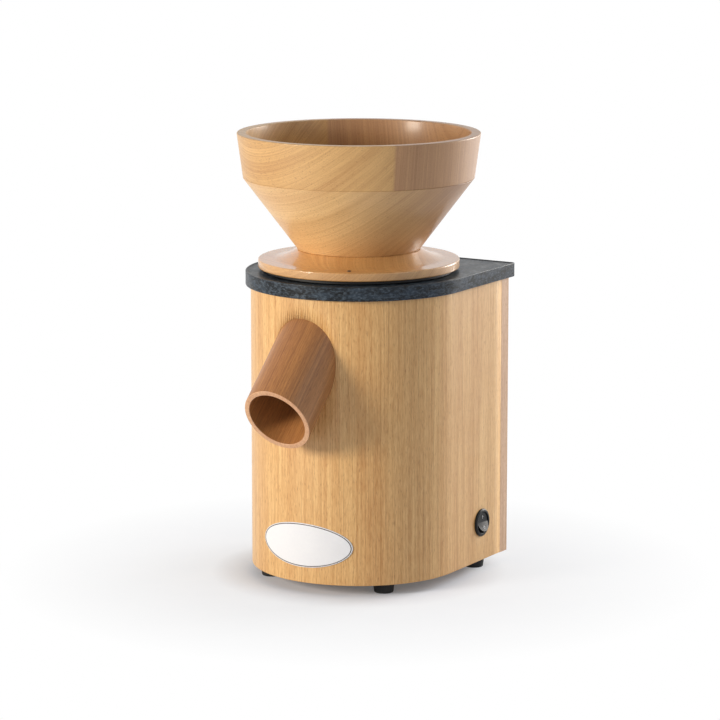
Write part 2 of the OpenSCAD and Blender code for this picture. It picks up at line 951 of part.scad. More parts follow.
module fan() {
    disc_t = 2;
    hub_r = 11;
    vane_t = 2;
    color("#303030")
        at_z(fan_top - fan_h)
            difference() {
                union() {
                    cylinder(r = hub_r, h = fan_h);
                    at_z(fan_h - disc_t)
                        cylinder(r = fan_r, h = disc_t);
                    around([for (i = [0 : fan_blades - 1]) i * 360 / fan_blades], hub_r - 1)
                        translate([0, -vane_t / 2, 0])
                            cube([fan_r - hub_r, vane_t, fan_h - disc_t + eps]);
                }
                at_z(-1)
                    cylinder(r = shaft_r + run, h = fan_h + 2);
            }
}

module stone_carrier() {
    color("lightsteelblue")
        difference() {
            union() {
                at_z(carrier_z)
                    cylinder(r = carrier_r, h = carrier_t);
                at_z(vane_z)
                    cylinder(r = carrier_hub_r, h = vane_h + eps);
                around([for (i = [0 : vane_count - 1]) 30 + i * 360 / vane_count], 0)
                    translate([0, -vane_w / 2, vane_z])
                        cube([vane_r, vane_w, vane_h + eps]);
            }
            at_z(vane_z - 1)
                cylinder(r = shaft_r + run, h = carrier_t + vane_h + 2);
            at_z(carrier_z - drive_pin_drop)
                rotate([0, 90, 0])
                    cylinder(r = drive_pin_r + run, h = drive_pin_l + 1, center = true, $fn = 32);
        }
}

module drive_pin() {
    color("silver")
        at_z(carrier_z - drive_pin_drop)
            rotate([0, 90, 0])
                cylinder(r = drive_pin_r, h = drive_pin_l, center = true, $fn = 32);
}

module lower_stone() {
    color("whitesmoke")
        difference() {
            at_z(lower_stone_z)
                cylinder(r = stone_r, h = lower_stone_t);
            at_z(lower_stone_z - 1)
                cylinder(r = shaft_r + run, h = lower_stone_t + 2);
            at_z(lower_stone_top - stone_recess_t)
                cylinder(r = stone_recess_r, h = stone_recess_t + 1);
        }
}

module shaft_screw() {
    color("silver") {
        at_z(lower_stone_top - stone_recess_t)
            cylinder(r = washer_r, h = washer_t);
        at_z(lower_stone_top - stone_recess_t + washer_t - eps)
            cylinder(r = 2 * end_screw_r, h = end_head_h, $fn = 6);
        at_z(lower_stone_top - stone_recess_t - end_screw_l)
            cylinder(r = end_screw_r, h = end_screw_l + eps, $fn = 32);
    }
}

// ---- upper stone ----

module stone_holder() {
    color("#c9c2b0")
        difference() {
            union() {
                at_z(holder_bottom)
                    cylinder(r = holder_r, h = holder_top - holder_bottom);
                at_z(ear_z)
                    around(pin_angles, pin_ring_r)
                        cylinder(r = ear_r, h = ear_t);
            }
            at_z(holder_bottom - 1)
                cylinder(r = holder_in_r, h = upper_stone_top - holder_bottom + 1);
            at_z(holder_bottom)
                cylinder(r = holder_lip_r, h = holder_top - holder_bottom + 1);
            at_z(ear_z - 1)
                around(pin_angles, pin_ring_r)
                    cylinder(r = pin_r + run, h = ear_t + 2, $fn = 32);
        }
}

module upper_stone() {
    eye_straight = 4;
    color("whitesmoke")
        rotate_extrude()
            polygon([
                [eye_r, upper_stone_z],
                [stone_r, upper_stone_z],
                [stone_r, upper_stone_top],
                [holder_lip_r - lip_in, upper_stone_top],
                [eye_r, upper_stone_z + eye_straight]
            ]);
}

// ---- hopper ----

module hopper_ring() {
    color("burlywood")
        rotate_extrude()
            polygon([
                [seam_r - hopper_wall, seam_z],
                [seam_r - seam_groove, seam_z],
                [seam_r, seam_z + seam_groove],
                [rim_r, rim_z - rim_chamfer],
                [rim_r - rim_chamfer, rim_z],
                [rim_r - hopper_wall + rim_chamfer, rim_z],
                [rim_r - hopper_wall, rim_z - rim_chamfer]
            ]);
}

module hopper_cone() {
    color("burlywood")
        rotate_extrude()
            polygon([
                [throat_r, cone_z],
                [cone_foot_r, cone_z],
                [seam_r, seam_z - seam_groove],
                [seam_r - seam_groove, seam_z],
                [seam_r - hopper_wall, seam_z]
            ]);
}

// Cove of the collar: a quarter of an ellipse from the flat top up to the foot of the cone
function cove() = [
    for (i = [0 : cove_steps])
        let (a = 90 * i / cove_steps)
            [
                cone_foot_r + (cove_start_r - cone_foot_r) * (1 - sin(a)),
                collar_top + collar_rise * (1 - cos(a))
            ]
];

module collar() {
    edge = 0.8;
    color("burlywood")
        difference() {
            rotate_extrude()
                polygon(concat(
                    [
                        [throat_r, collar_z],
                        [collar_r - edge, collar_z],
                        [collar_r, collar_z + edge],
                        [collar_r, collar_top - edge],
                        [collar_r - edge, collar_top]
                    ],
                    cove(),
                    [[throat_r, cone_z]]
                ));
            dot_place()
                at_z(-dot_depth)
                    cylinder(r = dot_r + seat / 2, h = dot_depth + 1, $fn = 32);
            guard_bars(guard_r + seat / 2, throat_r + guard_seat + seat);
            at_z(collar_z - eps)
                around(bolt_angles, sleeve_screw_ring_r)
                    cylinder(r = sleeve_screw_r + seat, h = sleeve_screw_l - sleeve_flange_t + 1, $fn = 32);
        }
}

// A child on the collar's top, where the index dot is
module dot_place() {
    rotate([0, 0, dot_angle - 90])
        translate([collar_r - dot_in, 0, collar_top])
            children();
}

module index_dot() {
    color("#3a2a1c")
        dot_place()
            at_z(-dot_depth)
                cylinder(r = dot_r, h = dot_depth + dot_proud, $fn = 32);
}

// Two bars across the throat, one over the other
module guard_bars(r, half) {
    for (i = [0, 1])
        translate([0, 0, guard_z - i * (2 * guard_r + guard_gap)])
            rotate([0, 0, 45 + 90 * i])
                translate([-half, 0, 0])
                    rotate([0, 90, 0])
                        cylinder(r = r, h = 2 * half, $fn = 32);
}

module finger_guard() {
    color("silver")
        guard_bars(guard_r, throat_r + guard_seat);
}

module hopper_sleeve() {
    color("#333333")
        difference() {
            union() {
                at_z(holder_top + bear)
                    cylinder(r = sleeve_r, h = collar_z - holder_top - bear);
                at_z(collar_z - sleeve_flange_t)
                    cylinder(r = collar_r - flange_in, h = sleeve_flange_t);
            }
            at_z(holder_top)
                cylinder(r = sleeve_in_r, h = far);
            sleeve_screw_places()
                screw(sleeve_screw_r + seat / 2, sleeve_screw_l + 1);
        }
}

// A child at each of the sleeve's screws, with +Z down out of the flange
module sleeve_screw_places() {
    around(bolt_angles, sleeve_screw_ring_r)
        at_z(collar_z - sleeve_flange_t)
            rotate([180, 0, 0])
                children();
}

module sleeve_screws() {
    color("silver")
        sleeve_screw_places()
            at_z(-0.1)
                screw(sleeve_screw_r, sleeve_screw_l - 0.1);
}

// ---- switch ----

module switch_housing() {
    color("#181818")
        at_switch()
            difference() {
                union() {
                    cylinder(r = bezel_r, h = bezel_t);
                    at_z(-housing_depth)
                        cylinder(r = housing_r, h = housing_depth + eps);
                }
                at_z(-well_depth)
                    cylinder(r = well_r, h = well_depth + bezel_t + 1);
                at_z(-pivot_in)
                    rotate([90, 0, 0])
                        cylinder(r = stub_r + run, h = 2 * (well_r + stub_l + 0.2), center = true, $fn = 32);
            }
}

module switch_terminals() {
    color("silver")
        at_switch()
            for (side = [-1, 1])
                translate([-blade_w / 2, side * blade_out - blade_t / 2, -housing_depth - blade_l])
                    cube([blade_w, blade_t, blade_l]);
}

// Side outline of the rocker with both halves equally raised: x out of the board, y up
module rocker_outline() {
    tilt = rocker_swing / 2;
    crest = pivot_in + crest_out;
    reach = 2 * rocker_end_r;
    depth = 3;
    polygon([
        [-depth, -reach],
        [crest + reach * tan(tilt), -reach],
        [crest, 0],
        [crest + reach * tan(tilt), reach],
        [-depth, reach]
    ]);
}

module rocker() {
    color("#101010")
        translate([front_r - pivot_in, switch_y, switch_z])
            rotate([0, -rocker_swing / 2, 0]) {
                intersection() {
                    rotate([90, 0, 0])
                        linear_extrude(2 * well_r, center = true)
                            rocker_outline();
                    rotate([90, 0, 0])
                        cylinder(r = rocker_end_r, h = 2 * well_r, center = true);
                    rotate([0, 90, 0])
                        cylinder(r = rocker_r, h = 4 * well_r, center = true);
                }
                rotate([90, 0, 0])
                    cylinder(r = stub_r, h = 2 * (well_r + stub_l), center = true, $fn = 32);
            }
}

// ---- badge, inlet and electrical parts ----

// Blank oval plate, bent to the round front
module badge() {
    steps = 72;
    color("white")
        intersection() {
            at_z(badge_z - badge_b - 1)
                tube(front_r + seat / 2 + badge_t, front_r + seat / 2, 2 * badge_b + 2);
            translate([0, 0, badge_z])
                rotate([90, 0, 0])
                    linear_extrude(far)
                        polygon([
                            for (i = [0 : steps - 1])
                                let (a = 360 * i / steps)
                                    [badge_a * cos(a), badge_b * sin(a)]
                        ]);
        }
}

module cord_inlet() {
    color("#202020")
        translate([-inlet_x, side_l, inlet_z])
            rotate([-90, 0, 0])
                difference() {
                    union() {
                        cylinder(r1 = inlet_flange_r, r2 = inlet_flange_r - 1, h = inlet_flange_t);
                        at_z(-back_t - inlet_end)
                            cylinder(r = inlet_tube_r, h = back_t + inlet_end + eps);
                    }
                    at_z(-back_t - inlet_end - 1)
                        cylinder(r = inlet_r, h = back_t + inlet_end + inlet_flange_t + 2);
                }
}

module capacitor() {
    color("lightgray")
        translate([cap_x, cap_y, base_top + cap_r + cap_up])
            rotate([0, 90, 0]) {
                cylinder(r = cap_r, h = cap_l);
                for (side = [-1, 1])
                    translate([-tab_size[0] / 2, side * tab_out - tab_size[1] / 2, -tab_size[2]])
                        cube([tab_size[0], tab_size[1], tab_size[2] + eps]);
            }
}

module capacitor_clip() {
    strap = 1;
    strap_w = 12;
    foot_l = 8;
    color("silver")
        translate([cap_x + (cap_l - strap_w) / 2, cap_y, base_top])
            difference() {
                union() {
                    at_z(cap_r + cap_up)
                        rotate([0, 90, 0])
                            cylinder(r = cap_r + seat + strap, h = strap_w);
                    translate([0, -cap_r - strap - foot_l, 0])
                        cube([strap_w, 2 * (cap_r + strap + foot_l), strap]);
                    translate([0, -cap_r - strap, 0])
                        cube([strap_w, 2 * (cap_r + strap), cap_r + cap_up]);
                }
                translate([-1, 0, cap_r + cap_up])
                    rotate([0, 90, 0])
                        cylinder(r = cap_r + seat, h = strap_w + 2);
                translate([-1, -cap_r, strap])
                    cube([strap_w + 2, 2 * cap_r, cap_r]);
                at_z(-far)
                    translate([-1, -far / 2, 0])
                        cube([far, far, far]);
            }
}

module terminal_block() {
    ways = 3;
    pitch = block_size[0] / ways;
    way_r = 2.5;
    color("ivory")
        translate(block_pos)
            difference() {
                cube(block_size);
                for (i = [0 : ways - 1])
                    translate([pitch * (i + 0.5), block_size[1] / 2, block_size[2] / 2])
                        cylinder(r = way_r, h = block_size[2], $fn = 32);
            }
}

module switch_lead() {
    color("#7a4a2a")
        swept(switch_lead_points, lead_r);
}

module motor_lead() {
    color("#2a3c7a")
        swept(motor_lead_points, lead_r);
}

shell();
back_panel();
base_plate();
top_plate();
neck_ring();
neck_screws();
milling_chamber();
chamber_screws();
felt_seal();
guide_pins();
lift_springs();
spout();
motor_can();
lower_end_shield();
upper_end_shield();
stator_core();
windings();
lower_bearing();
upper_bearing();
motor_bolts();
motor_spacers();
feet();
foot_screws();
back_screws();
badge();
cord_inlet();
switch_housing();
switch_terminals();
rocker();
capacitor();
capacitor_clip();
terminal_block();
switch_lead();
motor_lead();
shaft();
rotor_core();
fan();
stone_carrier();
drive_pin();
lower_stone();
shaft_screw();
stone_holder();
upper_stone();
hopper_ring();
hopper_cone();
collar();
hopper_sleeve();
sleeve_screws();
finger_guard();
index_dot();
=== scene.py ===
"""Looks of an electric grain mill: a turned beech hopper on a bent beech body with an inclined spout.

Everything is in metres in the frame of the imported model: the origin lies under the hopper's axis on
the floor, -Y is the front with the spout, +X the side of the switch, and +Z is up.
"""

import json
import math

import bmesh
import bpy
from mathutils import Euler, Matrix, Vector

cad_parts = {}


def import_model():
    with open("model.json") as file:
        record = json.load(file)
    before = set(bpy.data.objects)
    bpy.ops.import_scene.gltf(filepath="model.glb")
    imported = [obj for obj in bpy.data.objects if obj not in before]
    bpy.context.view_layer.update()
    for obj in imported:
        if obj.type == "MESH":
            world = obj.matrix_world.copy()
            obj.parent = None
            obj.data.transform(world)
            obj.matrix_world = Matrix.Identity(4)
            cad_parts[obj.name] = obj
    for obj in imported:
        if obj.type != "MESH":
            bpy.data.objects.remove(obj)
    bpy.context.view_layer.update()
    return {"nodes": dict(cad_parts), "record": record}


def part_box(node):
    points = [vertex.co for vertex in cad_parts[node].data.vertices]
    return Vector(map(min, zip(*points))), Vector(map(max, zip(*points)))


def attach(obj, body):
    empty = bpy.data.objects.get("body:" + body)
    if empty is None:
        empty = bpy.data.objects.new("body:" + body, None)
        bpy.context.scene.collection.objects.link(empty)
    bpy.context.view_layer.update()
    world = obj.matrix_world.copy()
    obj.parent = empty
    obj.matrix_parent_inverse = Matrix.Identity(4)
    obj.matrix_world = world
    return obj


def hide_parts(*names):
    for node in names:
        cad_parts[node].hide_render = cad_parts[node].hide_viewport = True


MM = 0.001
TURN = 2 * math.pi

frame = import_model()

# ---- sizes, read from the frame where it has them ----

BODY_LOW, BODY_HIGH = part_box("shell")
FRONT_R = BODY_HIGH.x
BOARD = 12 * MM
REBATE_WIDTH = 6 * MM  # cut into the board's foot for the base
BASE_T = 12 * MM
JOINT_GAP = 0.4 * MM  # the dark line between the board and the back panel
PLATE_LOW, PLATE_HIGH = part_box("top_plate")
PLATE_CORNER = 3 * MM  # the round of the slab's back corners
EDGE_BEAD = 0.7 * MM  # how far the slab's raised edge stands up
BEAD_WIDTH = 1.6 * MM
NECK_R = 52.15 * MM  # the slab's hole for the threaded neck
RING_LOW, RING_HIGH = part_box("hopper_ring")
CONE_LOW, CONE_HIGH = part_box("hopper_cone")
COLLAR_LOW, COLLAR_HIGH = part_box("collar")
HOPPER_WALL = 8 * MM
THROAT_R = 24 * MM  # the hopper's bore at its foot
CONE_FOOT_R = 51 * MM
COLLAR_LAND = 12 * MM  # from the collar's edge in to the foot of its slope
COLLAR_EDGE = 7.1 * MM  # the height of the collar's edge
FLANGE_WIDTH = 7 * MM  # of the milling chamber, outside its wall
SLIP = 0.1 * MM  # the gap round the spout where it is let in
CHAMBER_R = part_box("milling_chamber")[1].x - FLANGE_WIDTH + SLIP
SPOUT_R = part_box("spout")[1].x
SPOUT_WALL = 4.2 * MM
SPOUT_SLOPE = math.radians(44)
SPOUT_DROP = 57.8 * MM  # from the board's top edge down to the spout's axis
SPOUT_REACH = 52.3 * MM  # along the spout's axis from the board to the mouth
MOUTH_LEAN = math.radians(30.6)  # how far the mouth's plane faces down
SWITCH_HOLE_R = 10.2 * MM
FOOT_INSET = 15 * MM  # from the front's round to the middle of a front foot

FRONT_STEPS = 128  # round the front of the body
ARC_STEPS = 4  # round a corner of an outline
AXIS_R = 0.01 * MM  # where the outline of a turned solid ends at its axis

# ---- colours and nodes ----


def linear(hex_colour):
    """An sRGB hex colour as the linear RGBA that a shader takes."""
    parts = [int(hex_colour[i : i + 2], 16) / 255 for i in (1, 3, 5)]
    return [c / 12.92 if c <= 0.04045 else ((c + 0.055) / 1.055) ** 2.4 for c in parts] + [1.0]


def feed(tree, socket, value):
    """Links a node, by its first output in use, or a socket. Sets "#rrggbb" as a colour."""
    if isinstance(value, bpy.types.Node):
        value = next(s for s in value.outputs if s.enabled)
    if isinstance(value, bpy.types.NodeSocket):
        tree.links.new(value, socket)
    elif isinstance(value, str) and value.startswith("#"):
        socket.default_value = linear(value)
    else:
        socket.default_value = value


def add(tree, kind, inputs=(), **settings):
    """Adds a node with its settings. Its inputs come in a list, in their order, or in a dict."""
    made = tree.nodes.new(kind)
    for name, value in settings.items():
        setattr(made, name, value)
    for key, value in inputs.items() if isinstance(inputs, dict) else enumerate(inputs):
        feed(tree, made.inputs[key], value)
    return made


def new_material(name, **settings):
    """A material with its Principled shader: (material, tree, shader, object coordinates)."""
    made = bpy.data.materials.new(name)
    made.use_nodes = True
    tree = made.node_tree
    shader = tree.nodes["Principled BSDF"]
    for key, value in settings.items():
        shader.inputs[key.replace("_", " ")].default_value = value
    place = add(tree, "ShaderNodeTexCoord").outputs["Object"]
    return made, tree, shader, place


def pattern(tree, place, size, turn=(0, 0, 0), detail=3.0, roughness=0.55, warp=0.0):
    """Noise from 0 to 1 whose blots measure size, in mm, along the three axes that turn gives."""
    space = add(
        tree,
        "ShaderNodeMapping",
        {"Vector": place, "Rotation": turn, "Scale": [length * MM for length in size]},
        vector_type="TEXTURE",
    )
    look = {"Scale": 1.0, "Detail": detail, "Roughness": roughness, "Distortion": warp}
    return add(tree, "ShaderNodeTexNoise", {"Vector": space, **look})


def summed(tree, *parts):
    """The sum of values, each stretched: (value, low, high, start, end) takes low to start, high to
    end, and keeps between them."""
    whole = add(tree, "ShaderNodeMapRange", parts[0])
    for part in parts[1:]:
        more = add(tree, "ShaderNodeMapRange", part)
        whole = add(tree, "ShaderNodeMath", [whole, more], operation="ADD")
    return whole


def blended(tree, value, low, high, first, second, most=1.0):
    """The first colour up to low, and from there ever more of the second, up to most at high."""
    share = add(tree, "ShaderNodeMapRange", [value, low, high, 0.0, most])
    return add(tree, "ShaderNodeMix", {0: share, 6: first, 7: second}, data_type="RGBA")


def surface(tree, shader, relief, depth, strength, **inputs):
    """Gives the shader its inputs, and under its light a bump of the relief, depth mm deep."""
    bump = add(
        tree, "ShaderNodeBump", {"Height": relief, "Distance": depth * MM, "Strength": strength}
    )
    for name, value in {"Normal": bump, **inputs}.items():
        feed(tree, shader.inputs[name.replace("_", " ")], value)


# ---- finishes ----

UPRIGHT = (0, -math.pi / 2, 0)  # a pattern's long axis along +Z
DOWN_SPOUT = (0, SPOUT_SLOPE, -math.pi / 2)  # a pattern's long axis down the spout
GRAIN_AZIMUTH = math.radians(-29)  # the way that the hopper's fibres run, from +X
# The same line parts the hopper's lit side from its painted shade.
JOINT_AND_SHADE_AZIMUTH = math.radians(-42)  # the way that the hopper's glue joint runs, from +X
RING_SLOPE = math.radians(-45)  # the growth rings' slope in the hopper's wood


def wood(name, light, dark, fleck, turn, width=2.0, lines=0.3, flecks=0.6, gloss=0.3):
    """Lacquered beech, sanded fine. Fibres run along the pattern's first axis.

    Beech shows broad soft bands of tone, fine streaks, thin reddish lines and short dark flecks,
    its ray cells. Pores are 0.1 mm wide on real wood and drawn at 0.5 mm, so that they show at all.
    """
    made, tree, shader, place = new_material(
        name, Roughness=0.5, IOR=1.5, Coat_Weight=gloss, Coat_Roughness=0.24
    )
    bands = pattern(tree, place, (700, 15, 15), turn, 2.0, 0.5, 0.3)
    streaks = pattern(tree, place, (160, width, width), turn, 4.0, 0.7, 0.2)
    threads = pattern(tree, place, (110, 1.1, 1.1), turn, 1.0, 0.5)
    pores = pattern(tree, place, (9, 0.55, 0.55), turn, 2.0, 0.6)
    ray_cells = pattern(tree, place, (4.5, 0.5, 0.6), turn, 1.0, 0.4)
    tone = summed(
        tree,
        (bands, 0.32, 0.68, 0.04, 0.32),
        (streaks, 0.34, 0.66, 0.0, 0.52),
        (pores, 0.32, 0.68, -0.16, 0.34),
    )
    colour = add(tree, "ShaderNodeMix", {0: tone, 6: light, 7: dark}, data_type="RGBA")
    colour = blended(tree, threads, 0.56, 0.72, colour, fleck, lines)
    colour = blended(tree, ray_cells, 0.6, 0.72, colour, fleck, flecks)
    relief = add(tree, "ShaderNodeMath", [pores, streaks], operation="ADD")
    surface(tree, shader, relief, depth=0.04, strength=0.3, Base_Color=colour)
    return made


def turned_blank(name, light, dark, gloss, other_side_and_painted_shade=None, glued=True):
    """Beech turned from a solid blank and lacquered to a gloss.

    Its growth rings slope: they show as level lines on one side and as slanting ones further
    round. The other side's colours are given as (light, dark); they are darker, a painted shade
    on the hopper's side away from the key lamp. In a glued blank the other side is also another
    board, behind an upright joint through the hopper's axis, with rings that show as close upright
    lines. In a blank of one board the colour darkens slowly towards it, as painted shade only.
    """
    made, tree, shader, place = new_material(
        name, Roughness=0.5, IOR=1.5, Coat_Weight=gloss, Coat_Roughness=0.26 - 0.16 * gloss
    )
    level = (0, 0, GRAIN_AZIMUTH)
    sloping = (RING_SLOPE, 0, GRAIN_AZIMUTH)
    bands = pattern(tree, place, (300, 14, 60), sloping, 2.0, 0.5, 0.2)
    rings = pattern(tree, place, (400, 1.1, 80), sloping, 3.0, 0.6, 0.05)
    pores = pattern(tree, place, (9, 0.5, 0.5), level, 2.0, 0.6)
    pore_tone = (pores, 0.3, 0.7, -0.06, 0.14)
    tone = summed(tree, (bands, 0.32, 0.68, 0.05, 0.33), (rings, 0.32, 0.68, 0.04, 0.42), pore_tone)
    colour = add(tree, "ShaderNodeMix", {0: tone, 6: light, 7: dark}, data_type="RGBA")
    if other_side_and_painted_shade:
        first, last = -45 * MM, 60 * MM
        if glued:
            upright = pattern(tree, place, (400, 1.3, 120), level, 3.0, 0.65, 0.1)
            broad = pattern(tree, place, (400, 14, 160), level, 1.0, 0.5)
            lines, shades = (upright, 0.32, 0.68, 0.0, 0.5), (broad, 0.32, 0.68, 0.0, 0.26)
            tone = summed(tree, lines, shades, pore_tone)
            first, last = -1.5 * MM, 1.5 * MM
        # The other side's colours are darker as a painted shade; in a glued blank they are also
        # another board.
        ends = {0: tone, 6: other_side_and_painted_shade[0], 7: other_side_and_painted_shade[1]}
        browner_and_shaded = add(tree, "ShaderNodeMix", ends, data_type="RGBA")
        across = (-math.sin(JOINT_AND_SHADE_AZIMUTH), math.cos(JOINT_AND_SHADE_AZIMUTH), 0)
        side = add(tree, "ShaderNodeVectorMath", [place, across], operation="DOT_PRODUCT")
        colour = blended(tree, side, first, last, colour, browner_and_shaded)
    ray_cells = pattern(tree, place, (3, 0.6, 0.8), level, 1.0, 0.4)
    colour = blended(tree, ray_cells, 0.6, 0.72, colour, "#8d5c36", 0.4)
    relief = add(tree, "ShaderNodeMath", [pores, rings], operation="ADD")
    surface(tree, shader, relief, depth=0.03, strength=0.3, Base_Color=colour)
    return made


def laminate():
    """Pressed dark laminate, satin: a charcoal ground with blue-grey clouds and paler blots."""
    made, tree, shader, place = new_material("charcoal_laminate", IOR=1.3)
    clouds = pattern(tree, place, (14, 14, 3.5), detail=5.0, roughness=0.72)
    blots = pattern(tree, place, (3, 3, 1.4), detail=4.0, roughness=0.6)
    colour = blended(tree, clouds, 0.42, 0.62, "#0a0c0e", "#2f3a46")
    colour = blended(tree, blots, 0.46, 0.74, colour, "#7a8a99", 0.45)
    rough = add(tree, "ShaderNodeMapRange", [clouds, 0.3, 0.7, 0.28, 0.46])
    surface(tree, shader, blots, depth=0.06, strength=0.4, Base_Color=colour, Roughness=rough)
    return made


def moulded(name, colour, lighter, grain, roughness, ior=1.5):
    """Injection-moulded plastic or rubber: one colour with an eroded mould grain, in mm."""
    made, tree, shader, place = new_material(name, IOR=ior)
    fine = pattern(tree, place, (grain,) * 3, detail=2.0)
    broad = pattern(tree, place, (25,) * 3, detail=2.0)
    marks = add(tree, "ShaderNodeMath", [fine, broad], operation="MULTIPLY")
    shade = blended(tree, marks, 0.1, 0.5, colour, lighter)
    rough = add(tree, "ShaderNodeMapRange", [broad, 0.3, 0.7, roughness - 0.05, roughness + 0.05])
    surface(tree, shader, fine, depth=0.03, strength=0.4, Base_Color=shade, Roughness=rough)
    return made


def enamel():
    """White enamel baked on a thin aluminium plate: glossy with a faint orange peel."""
    made, tree, shader, place = new_material("white_enamel", IOR=1.5, Coat_Weight=0.3)
    peel = pattern(tree, place, (2.5,) * 3, detail=1.0)
    colour = blended(tree, peel, 0.3, 0.7, "#f3f6fc", "#f5f8fd")
    rough = add(tree, "ShaderNodeMapRange", [peel, 0.3, 0.7, 0.29, 0.32])
    surface(tree, shader, peel, depth=0.01, strength=0.1, Base_Color=colour, Roughness=rough)
    return made


def metal(name, colour, worn, size, roughness, turn=(0, 0, 0)):
    """Bare metal. Its marks' size sets the make: long streaks are brushed, even blots are cast."""
    made, tree, shader, place = new_material(name, Metallic=1.0)
    marks = pattern(tree, place, size, turn, 4.0, 0.65)
    broad = pattern(tree, place, (30,) * 3, detail=2.0)
    shade = blended(tree, broad, 0.3, 0.7, colour, worn)
    rough = add(tree, "ShaderNodeMapRange", [marks, 0.3, 0.7, roughness - 0.08, roughness + 0.08])
    surface(tree, shader, marks, depth=0.03, strength=0.5, Base_Color=shade, Roughness=rough)
    return made


def painted_steel():
    """Wet-painted sheet steel of the motor housing: matt grey-blue with fine spray grain."""
    made, tree, shader, place = new_material("painted_steel", IOR=1.5)
    spray = pattern(tree, place, (0.8,) * 3, detail=3.0)
    colour = blended(tree, spray, 0.3, 0.7, "#3a3f47", "#4a505a")
    rough = add(tree, "ShaderNodeMapRange", [spray, 0.3, 0.7, 0.4, 0.52])
    surface(tree, shader, spray, depth=0.03, strength=0.5, Base_Color=colour, Roughness=rough)
    return made


def millstone():
    """Corundum in a ceramic bond, cast and fired: pale, rough and porous, with dark grit."""
    made, tree, shader, place = new_material("corundum_stone", IOR=1.6, Roughness=0.9)
    grit = pattern(tree, place, (1.4,) * 3, detail=5.0, roughness=0.7)
    colour = blended(tree, grit, 0.35, 0.7, "#d9d2c4", "#9f988c")
    pit = 2.2 * MM
    pits = add(tree, "ShaderNodeTexVoronoi", {"Vector": place, "Scale": 1 / pit, "Randomness": 1.0})
    surface(tree, shader, pits, depth=0.4, strength=0.8, Base_Color=colour)
    return made


def pressed_felt():
    """Pressed wool felt: dark grey, with soft random fibres."""
    made, tree, shader, place = new_material(
        "pressed_felt", IOR=1.4, Sheen_Weight=0.4, Roughness=0.95
    )
    fibres = pattern(tree, place, (0.6, 0.6, 3), detail=4.0, warp=1.5)
    colour = blended(tree, fibres, 0.3, 0.7, "#4c4b48", "#6b6963")
    surface(tree, shader, fibres, depth=0.2, strength=0.8, Base_Color=colour)
    return made


# Beech of the board, the turned parts and the panel, bare plywood of the base, steamed beech of
# the spout, whose cut mouth is paler as end grain and with painted bounce light, and the dark
# plug in the collar. The hopper's rim has a painted sheen and its far side painted shade.
board_beech = wood("board_beech", "#f8d08f", "#c88f4f", "#a26632", UPRIGHT, flecks=0.5)
# The ring's other side is another board, and darker as a painted shade on the side away from the key
# lamp.
ring_beech = turned_blank("turned_beech_ring", "#e8be7e", "#ac783f", 0.35, ("#c79a6c", "#9b6d48"))
# The rim's pale colours are a painted sheen, standing for the white room reflected in its glossy top;
# its other side is darker as painted shade.
rim_beech_painted_sheen = turned_blank("turned_beech_rim_painted_sheen", "#fbead2", "#dfba96", 1.0, ("#f0d4b6", "#cda684"))
# The cone darkens slowly towards the side away from the key lamp: a painted shade, not the wood.
cone_beech = turned_blank(
    "turned_beech_cone", "#fad596", "#c8925a", 0.35, ("#b98a58", "#85582f"), glued=False
)
collar_beech = turned_blank("turned_beech_disc", "#e6b676", "#b0773b", 0.9)
panel_beech = wood("panel_beech", "#e6c3a0", "#c0916a", "#955f3f", UPRIGHT, width=3.0)
plywood = wood("base_plywood", "#d8b284", "#b48757", "#8f6638", (0, 0, 0), width=3.0, gloss=0.0)
spout_beech = wood(
    "steamed_beech",
    "#c0864c",
    "#905c32",
    "#6c4224",
    DOWN_SPOUT,
    width=1.8,
    lines=0.25,
    flecks=0.4,
    gloss=0.2,
)
# The mouth's cut is paler: fresh end grain, and a painted light for the bounce from the floor.
spout_cut_and_painted_bounce = wood("steamed_beech_cut_and_painted_bounce", "#e8bb90", "#c8926a", "#9c6844", UPRIGHT, lines=0.2, flecks=0.2)
dark_plug = wood(
    "dark_plug", "#20150d", "#150d08", "#0d0805", UPRIGHT, width=1.0, lines=0.2, flecks=0.2, gloss=0.0
)
# Nylon, polyamide, rubber, printed inks, bakelite and the sheaths of the leads.
matt_black = moulded("black_nylon", "#141516", "#1f2022", grain=0.35, roughness=0.55)
switch_black = moulded("black_polyamide", "#0c0d0f", "#131518", grain=0.3, roughness=0.4, ior=1.3)
rubber = moulded("black_rubber", "#0f0f10", "#191a1b", grain=0.6, roughness=0.75)
badge_ink = moulded("badge_ink", "#3a3430", "#453d38", grain=0.5, roughness=0.45)
white_print = moulded("white_print", "#e8eaec", "#f2f3f4", grain=0.5, roughness=0.5)
holder_nylon = moulded("ivory_nylon", "#b5ab93", "#c6bda7", grain=0.4, roughness=0.5)
ivory = moulded("ivory_bakelite", "#d9d2ba", "#e5dfca", grain=0.4, roughness=0.4)
brown_sheath = moulded("brown_lead_sheath", "#5a3420", "#6b4229", grain=0.5, roughness=0.5)
blue_sheath = moulded("blue_lead_sheath", "#22397a", "#2c478f", grain=0.5, roughness=0.5)
# Brushed steel, cast aluminium, stacked sheet steel, and wound copper wire in its enamel.
bright_steel = metal("bright_steel", "#a9acb0", "#c3c5c8", (12, 0.3, 0.3), roughness=0.3, turn=UPRIGHT)
cast_aluminium = metal("cast_aluminium", "#b6b7b9", "#c9cacc", (1.2,) * 3, roughness=0.48)
laminations = metal("stacked_laminations", "#6f7378", "#888c91", (80, 80, 0.5), roughness=0.45)
copper = metal("enamelled_copper", "#b0622f", "#c4773f", (60, 60, 0.8), roughness=0.3)

